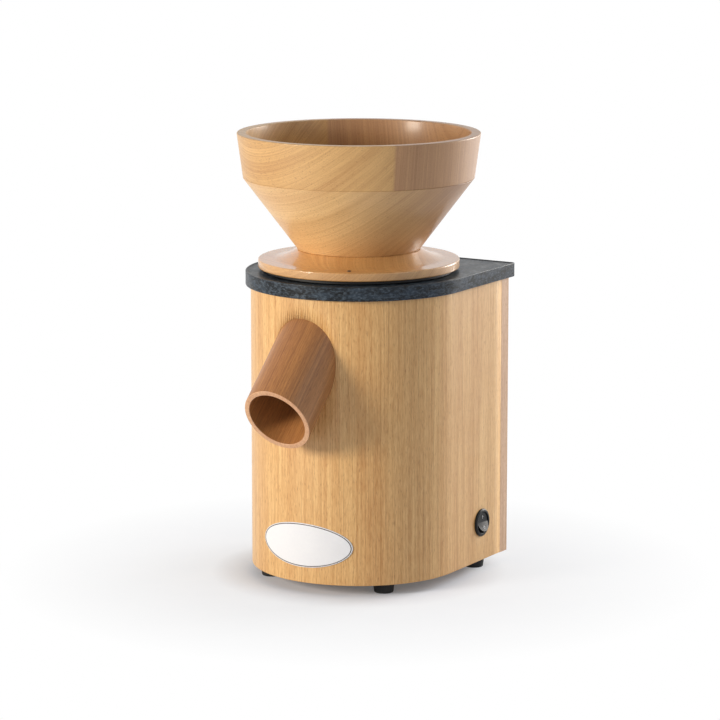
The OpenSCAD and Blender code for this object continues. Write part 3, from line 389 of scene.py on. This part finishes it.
FINISHES = {
    "beech": board_beech,
    "back_board": panel_beech,
    "base_board": plywood,
    "spout_wood": spout_beech,
    "dark_laminate": laminate(),
    "black_plastic": matt_black,
    "switch_black": switch_black,
    "rubber": rubber,
    "badge_white": enamel(),
    "dot_dark": dark_plug,
    "cast_alu": cast_aluminium,
    "steel": bright_steel,
    "lamination": laminations,
    "copper_enamel": copper,
    "painted_can": painted_steel(),
    "grindstone": millstone(),
    "holder_plastic": holder_nylon,
    "felt": pressed_felt(),
    "ivory_plastic": ivory,
    "lead_brown": brown_sheath,
    "lead_blue": blue_sheath,
}

# ---- mesh helpers ----


def linked(name, data):
    """A new object with this data in the scene."""
    made = bpy.data.objects.new(name, data)
    bpy.context.scene.collection.objects.link(made)
    return made


def spoke(angle):
    """The level unit vector at this angle from +X."""
    return Vector((math.cos(angle), math.sin(angle), 0))


def placed(name, points, faces):
    """A new mesh object at the origin, with its faces pointing outwards and its doubles merged."""
    shape = bmesh.new()
    corners = [shape.verts.new(p) for p in points]
    for face in faces:
        shape.faces.new([corners[i] for i in face])
    bmesh.ops.remove_doubles(shape, verts=shape.verts, dist=1e-7)
    bmesh.ops.recalc_face_normals(shape, faces=shape.faces)
    mesh = bpy.data.meshes.new(name)
    shape.to_mesh(mesh)
    shape.free()
    mesh.shade_smooth()
    return linked(name, mesh)


def crisp(piece):
    """Keeps flat faces flat beside their rounded edges."""
    weighted = piece.modifiers.new("even_light", "WEIGHTED_NORMAL")
    weighted.mode = "FACE_AREA"
    weighted.weight = 100
    return piece


def plain(piece):
    """The piece with its modifiers made into its mesh."""
    bpy.context.view_layer.update()
    graph = bpy.context.evaluated_depsgraph_get()
    mesh = bpy.data.meshes.new_from_object(piece.evaluated_get(graph), depsgraph=graph)
    piece.modifiers.clear()
    piece.data = mesh
    return piece


def seat(piece, body, slot, *stands_for, finish=None):
    """Paints the piece unless it has its paint, rides it on its body and hides the parts it stands
    for.
    """
    if finish is not None or not piece.data.materials:
        piece.data.materials.clear()
        piece.data.materials.append(finish or FINISHES[slot])
    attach(piece, body)
    if stands_for:
        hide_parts(*stands_for)
    return piece


def rounded(corners):
    """A closed outline: each corner (x, y, radius) becomes an arc that touches both its sides."""
    points = []
    for i, (x, y, radius) in enumerate(corners):
        here = Vector((x, y))
        if radius == 0:
            points.append(here)
            continue
        before = (Vector(corners[i - 1][:2]) - here).normalized()
        after = (Vector(corners[(i + 1) % len(corners)][:2]) - here).normalized()
        half = before.angle(after) / 2
        centre = here + (before + after).normalized() * (radius / math.sin(half))
        start = here + before * (radius / math.tan(half)) - centre
        end = here + after * (radius / math.tan(half)) - centre
        first = math.atan2(start.y, start.x)
        sweep = (math.atan2(end.y, end.x) - first + math.pi) % TURN - math.pi
        for k in range(ARC_STEPS + 1):
            angle = first + sweep * k / ARC_STEPS
            points.append(centre + radius * Vector((math.cos(angle), math.sin(angle))))
    return points


def lofted(name, rings, closed=False):
    """Quads between rings of equally many points. The ends are capped unless the loft is closed."""
    count = len(rings[0])
    points = [p for ring in rings for p in ring]
    faces = []
    for i in range(len(rings) if closed else len(rings) - 1):
        here, there = i * count, (i + 1) % len(rings) * count
        for k in range(count):
            nxt = (k + 1) % count
            faces.append((here + k, here + nxt, there + nxt, there + k))
    if not closed:
        faces.append(tuple(range(count)))
        faces.append(tuple(range(len(points) - count, len(points))))
    return placed(name, points, faces)


def without(piece, *cutters):
    """The piece with the cutters' solids taken out of it. The cutters are removed."""
    for cutter in cutters:
        cut = piece.modifiers.new("cut", "BOOLEAN")
        cut.object = cutter
        cut.solver = "EXACT"
    plain(piece)
    for cutter in cutters:
        bpy.data.objects.remove(cutter)
    return piece


def rod(start, end, radius, sides):
    """A closed cylinder from start to end, used as a cutter."""
    axis = (end - start).normalized()
    turn = axis.to_track_quat("Z", "Y")
    spokes = [turn @ spoke(TURN * k / sides) * radius for k in range(sides)]
    return lofted("cutter", [[start + s for s in spokes], [end + s for s in spokes]])


# ---- Geometry Nodes ----


def new_tree(name, *sizes):
    """A Geometry Nodes tree with named inputs (name, socket kind): (tree, group input, output)."""
    tree = bpy.data.node_groups.new(name, "GeometryNodeTree")
    for label, kind in (("Geometry", "NodeSocketGeometry"), *sizes):
        tree.interface.new_socket(label, in_out="INPUT", socket_type=kind)
    tree.interface.new_socket("Geometry", in_out="OUTPUT", socket_type="NodeSocketGeometry")
    return tree, add(tree, "NodeGroupInput"), add(tree, "NodeGroupOutput")


def grown(name, tree, values, template=None):
    """A plain mesh made by the tree with its named inputs set to values."""
    made = linked(name, template or bpy.data.meshes.new(name))
    modifier = made.modifiers.new("nodes", "NODES")
    modifier.node_group = tree
    for socket in tree.interface.items_tree:
        if socket.in_out == "INPUT" and socket.name in values:
            modifier[socket.identifier] = values[socket.name]
    return plain(made)


def lathe_tree():
    """Turns an outline, whose points lie in the XZ plane, once round the Z axis."""
    tree, given, out = new_tree(
        "lathe",
        ("Outline", "NodeSocketObject"),
        ("Outline points", "NodeSocketInt"),
        ("Steps round", "NodeSocketInt"),
        ("Finish", "NodeSocketMaterial"),
    )
    outline = add(tree, "GeometryNodeObjectInfo", {"Object": given.outputs["Outline"]})
    count = given.outputs["Outline points"]
    steps = given.outputs["Steps round"]
    wide = add(tree, "ShaderNodeMath", [steps, 1.0], operation="ADD")
    tall = add(tree, "ShaderNodeMath", [count, 1.0], operation="ADD")
    sheet = add(tree, "GeometryNodeMeshGrid", {"Vertices X": wide, "Vertices Y": tall})
    index = add(tree, "GeometryNodeInputIndex")
    row = add(tree, "ShaderNodeMath", [index, tall], operation="MODULO")
    wrapped = add(tree, "ShaderNodeMath", [row, count], operation="MODULO")
    column = add(tree, "ShaderNodeMath", [index, tall], operation="DIVIDE")
    column = add(tree, "ShaderNodeMath", [column], operation="FLOOR")
    part = add(tree, "ShaderNodeMath", [column, steps], operation="DIVIDE")
    angle = add(tree, "ShaderNodeMath", [part, TURN], operation="MULTIPLY")
    point = add(
        tree,
        "GeometryNodeSampleIndex",
        {
            "Geometry": outline.outputs["Geometry"],
            "Index": wrapped,
            "Value": add(tree, "GeometryNodeInputPosition"),
        },
        data_type="FLOAT_VECTOR",
    )
    spun = add(
        tree, "ShaderNodeVectorRotate", {"Vector": point, "Angle": angle}, rotation_type="Z_AXIS"
    )
    moved = add(tree, "GeometryNodeSetPosition", {"Geometry": sheet, "Position": spun})
    closed = add(tree, "GeometryNodeMergeByDistance", {"Geometry": moved, "Distance": 1e-6})
    real = add(tree, "GeometryNodeRealizeInstances", {"Geometry": closed})
    finish = given.outputs["Finish"]
    painted = add(tree, "GeometryNodeSetMaterial", {"Geometry": real, "Material": finish})
    feed(tree, out.inputs[0], painted)
    return tree


def copies_tree():
    """Sets one copy of a modelled part on each point, turned as the point's own attribute says."""
    tree, given, out = new_tree(
        "copies", ("Part", "NodeSocketObject"), ("Finish", "NodeSocketMaterial")
    )
    part = add(
        tree, "GeometryNodeObjectInfo", {"Object": given.outputs["Part"], "As Instance": False}
    )
    turn = add(
        tree, "GeometryNodeInputNamedAttribute", {"Name": "turn"}, data_type="FLOAT_VECTOR"
    )
    set_out = add(
        tree,
        "GeometryNodeInstanceOnPoints",
        {
            "Points": given.outputs["Geometry"],
            "Instance": part.outputs["Geometry"],
            "Rotation": add(tree, "FunctionNodeEulerToRotation", {"Euler": turn}),
        },
    )
    real = add(tree, "GeometryNodeRealizeInstances", {"Geometry": set_out})
    finish = given.outputs["Finish"]
    painted = add(tree, "GeometryNodeSetMaterial", {"Geometry": real, "Material": finish})
    feed(tree, out.inputs[0], painted)
    return tree


LATHE = lathe_tree()
COPIES = copies_tree()


def outwards(piece):
    """The piece with its doubles merged and its faces pointing outwards."""
    shape = bmesh.new()
    shape.from_mesh(piece.data)
    bmesh.ops.remove_doubles(shape, verts=shape.verts, dist=1e-6)
    bmesh.ops.recalc_face_normals(shape, faces=shape.faces)
    shape.to_mesh(piece.data)
    shape.free()
    piece.data.shade_smooth()
    return piece


def turned(name, corners, finish, steps=192):
    """A body of revolution round Z from corners (radius, height, rounding)."""
    outline = [Vector((p.x, 0, p.y)) for p in rounded(corners)]
    wire = bpy.data.meshes.new("outline")
    wire.from_pydata(outline, [], [])
    guide = linked("outline", wire)
    values = {
        "Outline": guide,
        "Outline points": len(outline),
        "Steps round": steps,
        "Finish": finish,
    }
    made = outwards(grown(name, LATHE, values))
    bpy.data.objects.remove(guide)
    return made


def copies(name, part, places, finish):
    """Copies of a part on places, each (point, rotation as XYZ angles). The part is removed."""
    mesh = bpy.data.meshes.new(name)
    mesh.from_pydata([point for point, _ in places], [], [])
    turn = mesh.attributes.new("turn", "FLOAT_VECTOR", "POINT")
    turn.data.foreach_set("vector", [a for _, angles in places for a in angles])
    made = grown(name, COPIES, {"Part": part, "Finish": finish}, mesh)
    bpy.data.objects.remove(part)
    made.data.shade_smooth()
    return made


def refined(node, name, edge, segments=2):
    """A copy of a CAD node with its triangles joined into faces and its edges rounded."""
    shape = bmesh.new()
    shape.from_mesh(frame["nodes"][node].data)
    bmesh.ops.remove_doubles(shape, verts=shape.verts, dist=1e-6)
    flat = math.radians(0.3)
    bmesh.ops.dissolve_limit(shape, angle_limit=flat, verts=shape.verts, edges=shape.edges)
    points = [v.co.copy() for v in shape.verts]
    shape.verts.index_update()
    faces = [[v.index for v in f.verts] for f in shape.faces]
    shape.free()
    mesh = bpy.data.meshes.new(name)
    mesh.from_pydata(points, [], faces)
    mesh.validate()
    mesh.shade_smooth()
    made = linked(name, mesh)
    bevel = made.modifiers.new("worn_edges", "BEVEL")
    bevel.width = edge
    bevel.segments = segments
    bevel.limit_method = "ANGLE"
    bevel.angle_limit = math.radians(35)
    return crisp(made)


# ---- body ----


def slab_plan(inset):
    """The slab's plan, drawn in by inset: a round front, flat sides and rounded back corners."""
    radius, back = PLATE_HIGH.x - inset, PLATE_HIGH.y - inset
    corner = max(PLATE_CORNER - inset, 0.3 * MM)
    wide, flat = radius - corner, back - corner
    steps = 6

    def bend(side, first):
        """The quarter turn of a back corner from its first angle, without its ends."""
        middle = Vector((side * wide, flat, 0))
        angles = [first + math.pi / 2 * k / steps for k in range(1, steps)]
        return [middle + spoke(a) * corner for a in angles]

    return [
        *(Vector((-radius, flat * (1 - k / steps), 0)) for k in range(steps)),
        *(spoke(math.pi * (1 + k / FRONT_STEPS)) * radius for k in range(FRONT_STEPS + 1)),
        *(Vector((radius, flat * k / steps, 0)) for k in range(1, steps + 1)),
        *bend(1, 0),
        *(Vector((wide * (1 - k / steps), back, 0)) for k in range(2 * steps + 1)),
        *bend(-1, math.pi / 2),
    ]


def spout_axis():
    """A point on the spout's axis at the body's front, and the unit vector out of its mouth."""
    start = Vector((0, -FRONT_R, BODY_HIGH.z - SPOUT_DROP))
    return start, Vector((0, -math.cos(SPOUT_SLOPE), -math.sin(SPOUT_SLOPE)))


def switch_place():
    """The middle of the switch on the board's outer face."""
    low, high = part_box("switch_housing")
    return Vector((FRONT_R, (low.y + high.y) / 2, (low.z + high.z) / 2))


def body_board():
    """The bent board: its section runs along the flat sides and round the front in one sweep."""
    inner = FRONT_R - BOARD
    edge = 0.8 * MM
    section = rounded(
        [
            (REBATE_WIDTH, BODY_LOW.z, 0),
            (BOARD, BODY_LOW.z, edge),
            (BOARD, BODY_HIGH.z, edge),
            (0, BODY_HIGH.z, 0),
            (0, BODY_LOW.z + BASE_T, 0),
            (REBATE_WIDTH, BODY_LOW.z + BASE_T, 0),
        ]
    )
    back = BODY_HIGH.y - JOINT_GAP
    side_steps = 8
    stations = []
    for k in range(side_steps + 1):
        stations.append((Vector((-inner, back * (1 - k / side_steps), 0)), Vector((-1, 0, 0))))
    for k in range(1, FRONT_STEPS + 1):
        out = spoke(math.pi * (1 + k / FRONT_STEPS))
        stations.append((out * inner, out))
    for k in range(1, side_steps + 1):
        stations.append((Vector((inner, back * k / side_steps, 0)), Vector((1, 0, 0))))
    rings = [[at + out * p.x + Vector((0, 0, p.y)) for p in section] for at, out in stations]
    board = lofted("body_board", rings)
    start, along = spout_axis()
    far = along * 150 * MM
    spout_hole = rod(start - far, start + far, SPOUT_R + SLIP, 160)
    place = switch_place()
    through = Vector((BOARD + 2 * MM, 0, 0))
    switch_hole = rod(place - through, place + through, SWITCH_HOLE_R, 64)
    board = crisp(outwards(without(board, spout_hole, switch_hole)))
    board.data.set_sharp_from_angle(angle=math.radians(40))
    return seat(board, "root", "beech", "shell", finish=board_beech)


def top_plate():
    """The dark slab: its plan at each step of its edge, then in to the hole for the neck."""
    low, bead = PLATE_LOW.z, PLATE_HIGH.z
    top = bead - EDGE_BEAD

    def plan(inset, height):
        """The slab's outline at this height, drawn in by inset."""
        return [Vector((p.x, p.y, height)) for p in slab_plan(inset)]

    def neck(height):
        """The hole's round at this height, with a point for each of the outline's."""
        return [p.normalized() * NECK_R + Vector((0, 0, height)) for p in slab_plan(0)]

    edge = [
        (0.5 * MM, low),
        (0.15 * MM, low + 0.15 * MM),
        (0, low + 0.5 * MM),
        (0, top),
        (0.1 * MM, bead - 0.3 * MM),
        (0.35 * MM, bead - 0.08 * MM),
        (0.8 * MM, bead),
        (BEAD_WIDTH - 0.4 * MM, bead - 0.1 * MM),
        (BEAD_WIDTH, bead - 0.4 * MM),
        (BEAD_WIDTH + 0.5 * MM, top),
        (BEAD_WIDTH + 3 * MM, top),
    ]
    rings = [neck(low)] + [plan(inset, height) for inset, height in edge] + [neck(top)]
    plate = crisp(lofted("top_plate_slab", rings, closed=True))
    return seat(plate, "root", "dark_laminate", "top_plate")


def back_board():
    """The panel behind the machine, with its vent slots and softened edges."""
    return seat(refined("back_panel", "back_board", 0.6 * MM), "root", "back_board", "back_panel")


def spout_tube():
    """A wooden tube down its slope, cut off flat at its mouth and round the milling chamber."""
    start, along = spout_axis()
    across = Vector((1, 0, 0))
    up = across.cross(along)
    mouth = start + along * SPOUT_REACH
    lean = Vector((0, -math.cos(MOUTH_LEAN), -math.sin(MOUTH_LEAN)))
    soft = 0.7 * MM  # how far the mouth's edges are rounded
    sides, steps = 128, 8

    def side_line(angle, radius):
        """Where the tube's side line at this angle meets the chamber and the mouth's plane."""
        base = start + (across * math.cos(angle) + up * math.sin(angle)) * radius
        a = along.y**2
        b = base.y * along.y
        c = base.x**2 + base.y**2 - CHAMBER_R**2
        root = math.sqrt(max(b * b - a * c, 0))
        inner = (-b - root) / a
        if base.y + inner * along.y > 0:
            inner = (-b + root) / a
        outer = (mouth - base).dot(lean) / along.dot(lean)
        return base, inner, outer

    def straight(base, first, last):
        """Even points on a side line, as far from its base as first to last."""
        return [base + along * (first + (last - first) * i / steps) for i in range(steps + 1)]

    def eased(first, corner, last):
        """Three points of the curve that rounds a corner off, without its ends."""
        curve = []
        for t in (0.25, 0.5, 0.75):
            curve.append(first * (1 - t) ** 2 + corner * 2 * t * (1 - t) + last * t**2)
        return curve

    rings = []
    for k in range(sides):
        angle = TURN * k / sides
        narrow, narrow_in, narrow_out = side_line(angle, SPOUT_R - SPOUT_WALL)
        wide, wide_in, wide_out = side_line(angle, SPOUT_R)
        inner_lip = narrow + along * narrow_out
        outer_lip = wide + along * wide_out
        cut = (outer_lip - inner_lip).normalized() * soft
        bore = straight(narrow, narrow_in, narrow_out - soft)
        flank = straight(wide, wide_out - soft, wide_in)
        rings.append(
            [
                *bore,
                *eased(bore[-1], inner_lip, inner_lip + cut),
                inner_lip + cut,
                outer_lip - cut,
                *eased(outer_lip - cut, outer_lip, flank[0]),
                *flank,
            ]
        )
    tube = lofted("spout_tube", rings, closed=True)
    tube.data.materials.append(spout_beech)
    tube.data.materials.append(spout_cut_and_painted_bounce)
    # The faces of the mouth's cut take the paler finish: end grain with painted bounce light.
    for face in tube.data.polygons:
        if (face.center - mouth).dot(lean) > -soft / 2:
            face.material_index = 1
    return seat(crisp(tube), "root", "spout_wood", "spout")


# ---- hopper ----


def hopper_parts():
    """The ring, the cone and the collar, each turned from its own blank."""
    seam, seam_r = RING_LOW.z, CONE_HIGH.x
    groove, arris, lip = 0.25 * MM, 0.2 * MM, 0.9 * MM
    ring = turned(
        "turned_ring",
        [
            (seam_r - HOPPER_WALL, seam, 0),
            (seam_r - groove, seam, 0),
            (seam_r, seam + groove, arris),
            (RING_HIGH.x, RING_HIGH.z, lip),
            (RING_HIGH.x - HOPPER_WALL, RING_HIGH.z, lip),
        ],
        ring_beech,
    )
    # The rim's upward faces take the pale finish: a painted sheen on the top of the rim.
    ring.data.materials.append(rim_beech_painted_sheen)
    painted_sheen_rise = 0.8  # how far up a face of the rim points at least
    for face in ring.data.polygons:
        if face.normal.z > painted_sheen_rise:
            face.material_index = 1
    cone = turned(
        "turned_cone",
        [
            (THROAT_R, CONE_LOW.z, 0),
            (CONE_FOOT_R, CONE_LOW.z, 0.3 * MM),
            (seam_r, seam - groove, arris),
            (seam_r - groove, seam, 0),
            (seam_r - HOPPER_WALL, seam, 0),
        ],
        cone_beech,
    )
    edge_top = COLLAR_LOW.z + COLLAR_EDGE
    land = COLLAR_HIGH.x - COLLAR_LAND
    rise = COLLAR_HIGH.z - edge_top
    steps, bend = 16, 1.6
    slope = []
    for i in range(steps + 1):
        part = i / steps
        slope.append((land + (CONE_FOOT_R - land) * part, edge_top + rise * part**bend, 0))
    collar = turned(
        "turned_collar",
        [
            (THROAT_R, COLLAR_LOW.z, 0),
            (COLLAR_HIGH.x, COLLAR_LOW.z, lip),
            (COLLAR_HIGH.x, edge_top, 1.1 * MM),
            *slope,
            (THROAT_R, COLLAR_HIGH.z, 0),
        ],
        collar_beech,
    )
    for piece, node in ((ring, "hopper_ring"), (cone, "hopper_cone"), (collar, "collar")):
        seat(crisp(piece), "hopper", "beech", node)


def index_plug():
    """The dark plug in the collar, with a low domed head."""
    low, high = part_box("index_dot")
    radius = (high.x - low.x) / 2
    plug = turned(
        "dark_index_plug",
        [
            (AXIS_R, low.z, 0),
            (radius, low.z, 0),
            (radius, high.z, 0),
            (radius * 0.8, high.z + 0.35 * MM, 0),
            (radius * 0.45, high.z + 0.55 * MM, 0),
            (AXIS_R, high.z + 0.6 * MM, 0),
        ],
        dark_plug,
        steps=48,
    )
    middle = (low + high) / 2
    plug.data.transform(Matrix.Translation((middle.x, middle.y, 0)))
    seat(crisp(plug), "hopper", "dot_dark", "index_dot")


# ---- badge ----


def badge():
    """A blank enamelled oval, bent to the board, with a thin dark line just inside its edge."""
    low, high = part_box("badge")
    middle = (low.z + high.z) / 2
    half_w, half_h = high.x, (high.z - low.z) / 2
    back = FRONT_R + 0.05 * MM
    front = back + 0.8 * MM
    bevel = 0.35 * MM
    sides = 128

    def oval(inset, radius, part=1.0):
        """A part of the oval's size, once it is inset from its edge, on a round of this radius."""
        ring = []
        for k in range(sides):
            angle = TURN * k / sides
            x = part * (half_w - inset) * math.cos(angle)
            z = middle + part * (half_h - inset) * math.sin(angle)
            ring.append(Vector((x, -math.sqrt(radius**2 - x**2), z)))
        return ring

    parts = [0.2, 0.4, 0.6, 0.8]
    edge = [(0, back), (0, front - 0.3 * MM), (0.1 * MM, front - 0.08 * MM), (bevel, front)]
    rings = [oval(bevel, back, part) for part in parts]
    rings += [oval(inset, radius) for inset, radius in edge]
    rings += [oval(bevel, front, part) for part in reversed(parts)]
    seat(crisp(lofted("badge_plate", rings)), "root", "badge_white", "badge")
    inset, width, sunk, proud = 0.7 * MM, 0.7 * MM, 0.05 * MM, 0.03 * MM
    line = lofted(
        "badge_line",
        [
            oval(inset, front - sunk),
            oval(inset, front + proud),
            oval(inset + width, front + proud),
            oval(inset + width, front - sunk),
        ],
        closed=True,
    )
    seat(line, "root", "badge_white", finish=badge_ink)


# ---- switch ----


def to_switch(piece):
    """Stands a piece made round Z on the switch's place, with +Z out of the board."""
    turn = Matrix.Translation(switch_place()) @ Matrix.Rotation(math.pi / 2, 4, "Y")
    piece.data.transform(turn)
    return piece


def switch():
    """Bezel and well in one moulding, the rocker in it, and its two printed marks."""
    low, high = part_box("switch_housing")
    bezel_r = (high.y - low.y) / 2
    proud = high.x - FRONT_R
    depth = FRONT_R - low.x
    housing_r, well_r, well = 10.1 * MM, 9 * MM, 12 * MM
    bezel = turned(
        "switch_frame",
        [
            (AXIS_R, -depth, 0),
            (housing_r, -depth, 0.5 * MM),
            (housing_r, 0, 0),
            (bezel_r, 0, 0.15 * MM),
            (bezel_r, 0.55 * proud, 0.5 * MM),
            (bezel_r - 1.1 * MM, proud, 0.4 * MM),
            (well_r, proud, 0.35 * MM),
            (well_r, -well, 0.3 * MM),
            (AXIS_R, -well, 0),
        ],
        switch_black,
        steps=96,
    )
    seat(crisp(to_switch(bezel)), "root", "switch_black", "switch_housing")
    rocker = refined("rocker", "switch_rocker", 0.45 * MM, segments=3)
    seat(rocker, "rocker", "switch_black", "rocker")

    swing = math.radians(12)
    pivot = switch_place() - Vector((1 * MM, 0, 0))
    crest = 2.2 * MM
    tilt = Matrix.Translation(pivot) @ Matrix.Rotation(-swing, 4, "Y")

    def on_half(side, reach, across, proud):
        """A point on the rocker's upper (1) or lower (-1) face, proud of it."""
        face = Vector((math.sin(swing), 0, side * math.cos(swing)))
        out = Vector((math.cos(swing), 0, -side * math.sin(swing)))
        return tilt @ (Vector((crest, 0, 0)) + face * reach + Vector((0, across, 0)) + out * proud)

    bar_half, bar_w, print_t = 1.3 * MM, 0.28 * MM, 0.04 * MM
    bar_mid = 4.3 * MM
    corners = [(-1, -1), (1, -1), (1, 1), (-1, 1)]
    bar = lofted(
        "on_mark",
        [
            [on_half(1, bar_mid + bar_half * a, bar_w * b, lift) for a, b in corners]
            for lift in (-print_t, print_t)
        ],
    )
    seat(bar, "rocker", "badge_white", finish=white_print)
    ring_mid, ring_r, ring_w = 4.6 * MM, 1.25 * MM, 0.45 * MM
    sides = 48

    def loop(radius, lift):
        """A round on the rocker's lower face, lifted off it."""
        angles = [TURN * k / sides for k in range(sides)]
        return [
            on_half(-1, ring_mid + radius * math.cos(a), radius * math.sin(a), lift) for a in angles
        ]

    ring = lofted(
        "off_mark",
        [
            loop(ring_r, -print_t),
            loop(ring_r, print_t),
            loop(ring_r - ring_w, print_t),
            loop(ring_r - ring_w, -print_t),
        ],
        closed=True,
    )
    seat(ring, "rocker", "badge_white", finish=white_print)


# ---- feet and screws ----


def feet():
    """Four moulded rubber feet, each with the sunk hole of its screw."""
    low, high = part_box("feet")
    radius, height = 9 * MM, high.z - low.z
    rear = (high.x - radius, high.y - radius)
    front_y = low.y + radius
    front = (math.sqrt((FRONT_R - FOOT_INSET) ** 2 - front_y**2), front_y)
    bore, sunk = 2.1 * MM, 4.6 * MM
    foot = turned(
        "foot",
        [
            (bore, height / 3, 0),
            (sunk, height / 3, 0.2 * MM),
            (sunk, 0, 0.3 * MM),
            (radius - 1 * MM, 0, 0.9 * MM),
            (radius, height, 0.3 * MM),
            (bore, height, 0),
        ],
        rubber,
        steps=64,
    )
    spots = [(side * x, y, low.z) for x, y in (front, rear) for side in (-1, 1)]
    placed_feet = copies("rubber_feet", foot, [(spot, (0, 0, 0)) for spot in spots], rubber)
    seat(crisp(placed_feet), "root", "rubber", "feet")


def cross_screw(shank_r, length):
    """A countersunk screw under z = 0 with a cross recess in its head."""
    head_r = 2 * shank_r
    body = turned(
        "screw",
        [
            (AXIS_R, -length, 0),
            (shank_r * 0.3, -length, 0),
            (shank_r, -length + 2 * shank_r, 0),
            (shank_r, -head_r, 0),
            (head_r, -0.15 * MM, 0),
            (head_r - 0.1 * MM, 0, 0),
            (AXIS_R, 0, 0),
        ],
        bright_steel,
        steps=32,
    )
    arm, half, deep = head_r * 0.62, head_r * 0.14, head_r * 0.5
    cutters = []
    for wide, tall in ((arm, half), (half, arm)):
        box = [(-wide, -tall), (wide, -tall), (wide, tall), (-wide, tall)]
        cutters.append(
            lofted(
                "cutter",
                [
                    [Vector((x, y, 0.5 * MM)) for x, y in box],
                    [Vector((x * 0.7, y * 0.8, -deep)) for x, y in box],
                ],
            )
        )
    return outwards(without(body, *cutters))


def back_screws():
    """Six screws in the back board, two columns of three, each turned a little otherwise."""
    low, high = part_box("back_screws")
    head_r = 4 * MM
    columns = (low.x + head_r, high.x - head_r)
    rows = (low.z + head_r, (low.z + high.z) / 2, high.z - head_r)
    places = []
    for i, x in enumerate(columns):
        for k, z in enumerate(rows):
            places.append(((x, high.y, z), (-math.pi / 2, 0.7 * i + 1.1 * k, 0)))
    screw = cross_screw(2 * MM, 23 * MM)
    made = copies("back_board_screws", screw, places, bright_steel)
    made.data.set_sharp_from_angle(angle=math.radians(35))
    seat(made, "root", "steel", "back_screws")


body_board()
top_plate()
back_board()
spout_tube()
hopper_parts()
index_plug()
badge()
switch()
feet()
back_screws()

SOFT_EDGES = {
    "base_plate": ("base_board_panel", 0.5),
    "hopper_sleeve": ("screw_sleeve", 0.3),
    "neck_ring": ("threaded_neck", 0.3),
    "cord_inlet": ("inlet_bush", 0.5),
}
for node_name, (piece_name, edge_mm) in SOFT_EDGES.items():
    record_slot = next(
        s["material_slot"] for s in frame["record"]["subparts"] if s["node"] == node_name
    )
    body_name = next(b for b, n in frame["record"]["behaviour"]["bodies"].items() if node_name in n)
    seat(refined(node_name, piece_name, edge_mm * MM), body_name, record_slot, node_name)

for part in frame["record"]["subparts"]:
    shown = frame["nodes"][part["node"]]
    shown.data.materials.clear()
    shown.data.materials.append(FINISHES[part["material_slot"]])

# ---- stage, light and camera ----

FILL = 0.2  # how strongly the white room lights the object


def seen_rays(tree):
    """1 for rays that show the background: straight to the camera, by gloss or through glass."""
    path = add(tree, "ShaderNodeLightPath").outputs
    seen = path["Is Camera Ray"]
    for kind in ("Is Transmission Ray", "Is Glossy Ray"):
        seen = add(tree, "ShaderNodeMath", [seen, path[kind]], operation="MAXIMUM")
    return seen


def paper():
    """White paper. It glows to the camera, and ever more so away from the object, so that it is
    white to the horizon. Near the object the glow falls away: a painted shade round the feet,
    added to the soft shadows that the lamps cast."""
    made, tree, shader, place = new_material("white_paper", Roughness=0.9)
    fleck = pattern(tree, place, (40,) * 3, detail=1.0)
    paint = blended(tree, fleck, 0.3, 0.7, "#e2eafa", "#e8effe")
    feed(tree, shader.inputs["Base Color"], paint)
    light = add(tree, "ShaderNodeEmission", {"Color": (1, 1, 1, 1), "Strength": 1.0})
    away = add(tree, "ShaderNodeVectorMath", [place], operation="LENGTH")
    # The glow falls away near the object, which paints a darker ring of shade round it.
    near, middle, far = 85 * MM, 125 * MM, 300 * MM
    glow = summed(tree, (away, near, middle, 0.1, 0.68), (away, middle, far, 0.0, 0.32))
    amount = add(tree, "ShaderNodeMath", [seen_rays(tree), glow], operation="MULTIPLY")
    lit = add(tree, "ShaderNodeMixShader", [amount, shader, light])
    feed(tree, tree.nodes["Material Output"].inputs["Surface"], lit)
    return made


def floor():
    """A sheet of the paper, wide enough to reach the horizon."""
    reach = 20.0
    sheet = placed(
        "floor",
        [(-reach, -reach, 0), (reach, -reach, 0), (reach, reach, 0), (-reach, reach, 0)],
        [(0, 1, 2, 3)],
    )
    sheet.data.materials.append(paper())


def world():
    """A plain white room: at full strength for the background, and at FILL for the object."""
    made = bpy.data.worlds.new("studio")
    made.use_nodes = True
    tree = made.node_tree
    glow = tree.nodes["Background"]
    level = add(tree, "ShaderNodeMapRange", [seen_rays(tree), 0, 1, FILL, 1.0])
    feed(tree, glow.inputs["Color"], (1, 1, 1, 1))
    feed(tree, glow.inputs["Strength"], level)
    bpy.context.scene.world = made


def lamp(name, azimuth, height, size, power, colour):
    """A square soft box that faces the body. Azimuth counts from the front towards +X."""
    data = bpy.data.lights.new(name, "AREA")
    data.size = size
    data.energy = power
    data.color = linear(colour)[:3]
    made = linked(name, data)
    aim, distance = Vector((0, 0, 0.2)), 1.5
    around, up = math.radians(azimuth), math.radians(height)
    level = math.cos(up)
    out = Vector((math.sin(around) * level, -math.cos(around) * level, math.sin(up)))
    made.location = aim + out * distance
    made.rotation_euler = (-out).to_track_quat("-Z", "Y").to_euler()


def camera():
    """The photograph's view: 31.1 degrees round from the front and 10.6 above the level."""
    azimuth, pitch = math.radians(31.10), math.radians(10.64)
    distance, side, height = 2.7005, 0.00096, 0.6881
    data = bpy.data.cameras.new("camera")
    data.sensor_width = 36
    data.lens = 164.27
    data.clip_end = 50
    made = linked("camera", data)
    made.location = (
        math.sin(azimuth) * distance + math.cos(azimuth) * side,
        -math.cos(azimuth) * distance + math.sin(azimuth) * side,
        height,
    )
    made.rotation_euler = Euler((math.pi / 2 - pitch, 0, azimuth))
    bpy.context.scene.camera = made


floor()
world()
lamp("key", azimuth=-30, height=13, size=0.4, power=17.5, colour="#fff4e4")
lamp("side", azimuth=158, height=12, size=0.7, power=19.0, colour="#fffaf4")
lamp("right", azimuth=85, height=25, size=0.6, power=2.0, colour="#fffaf4")
camera()

bpy.context.scene.view_settings.view_transform = "Standard"
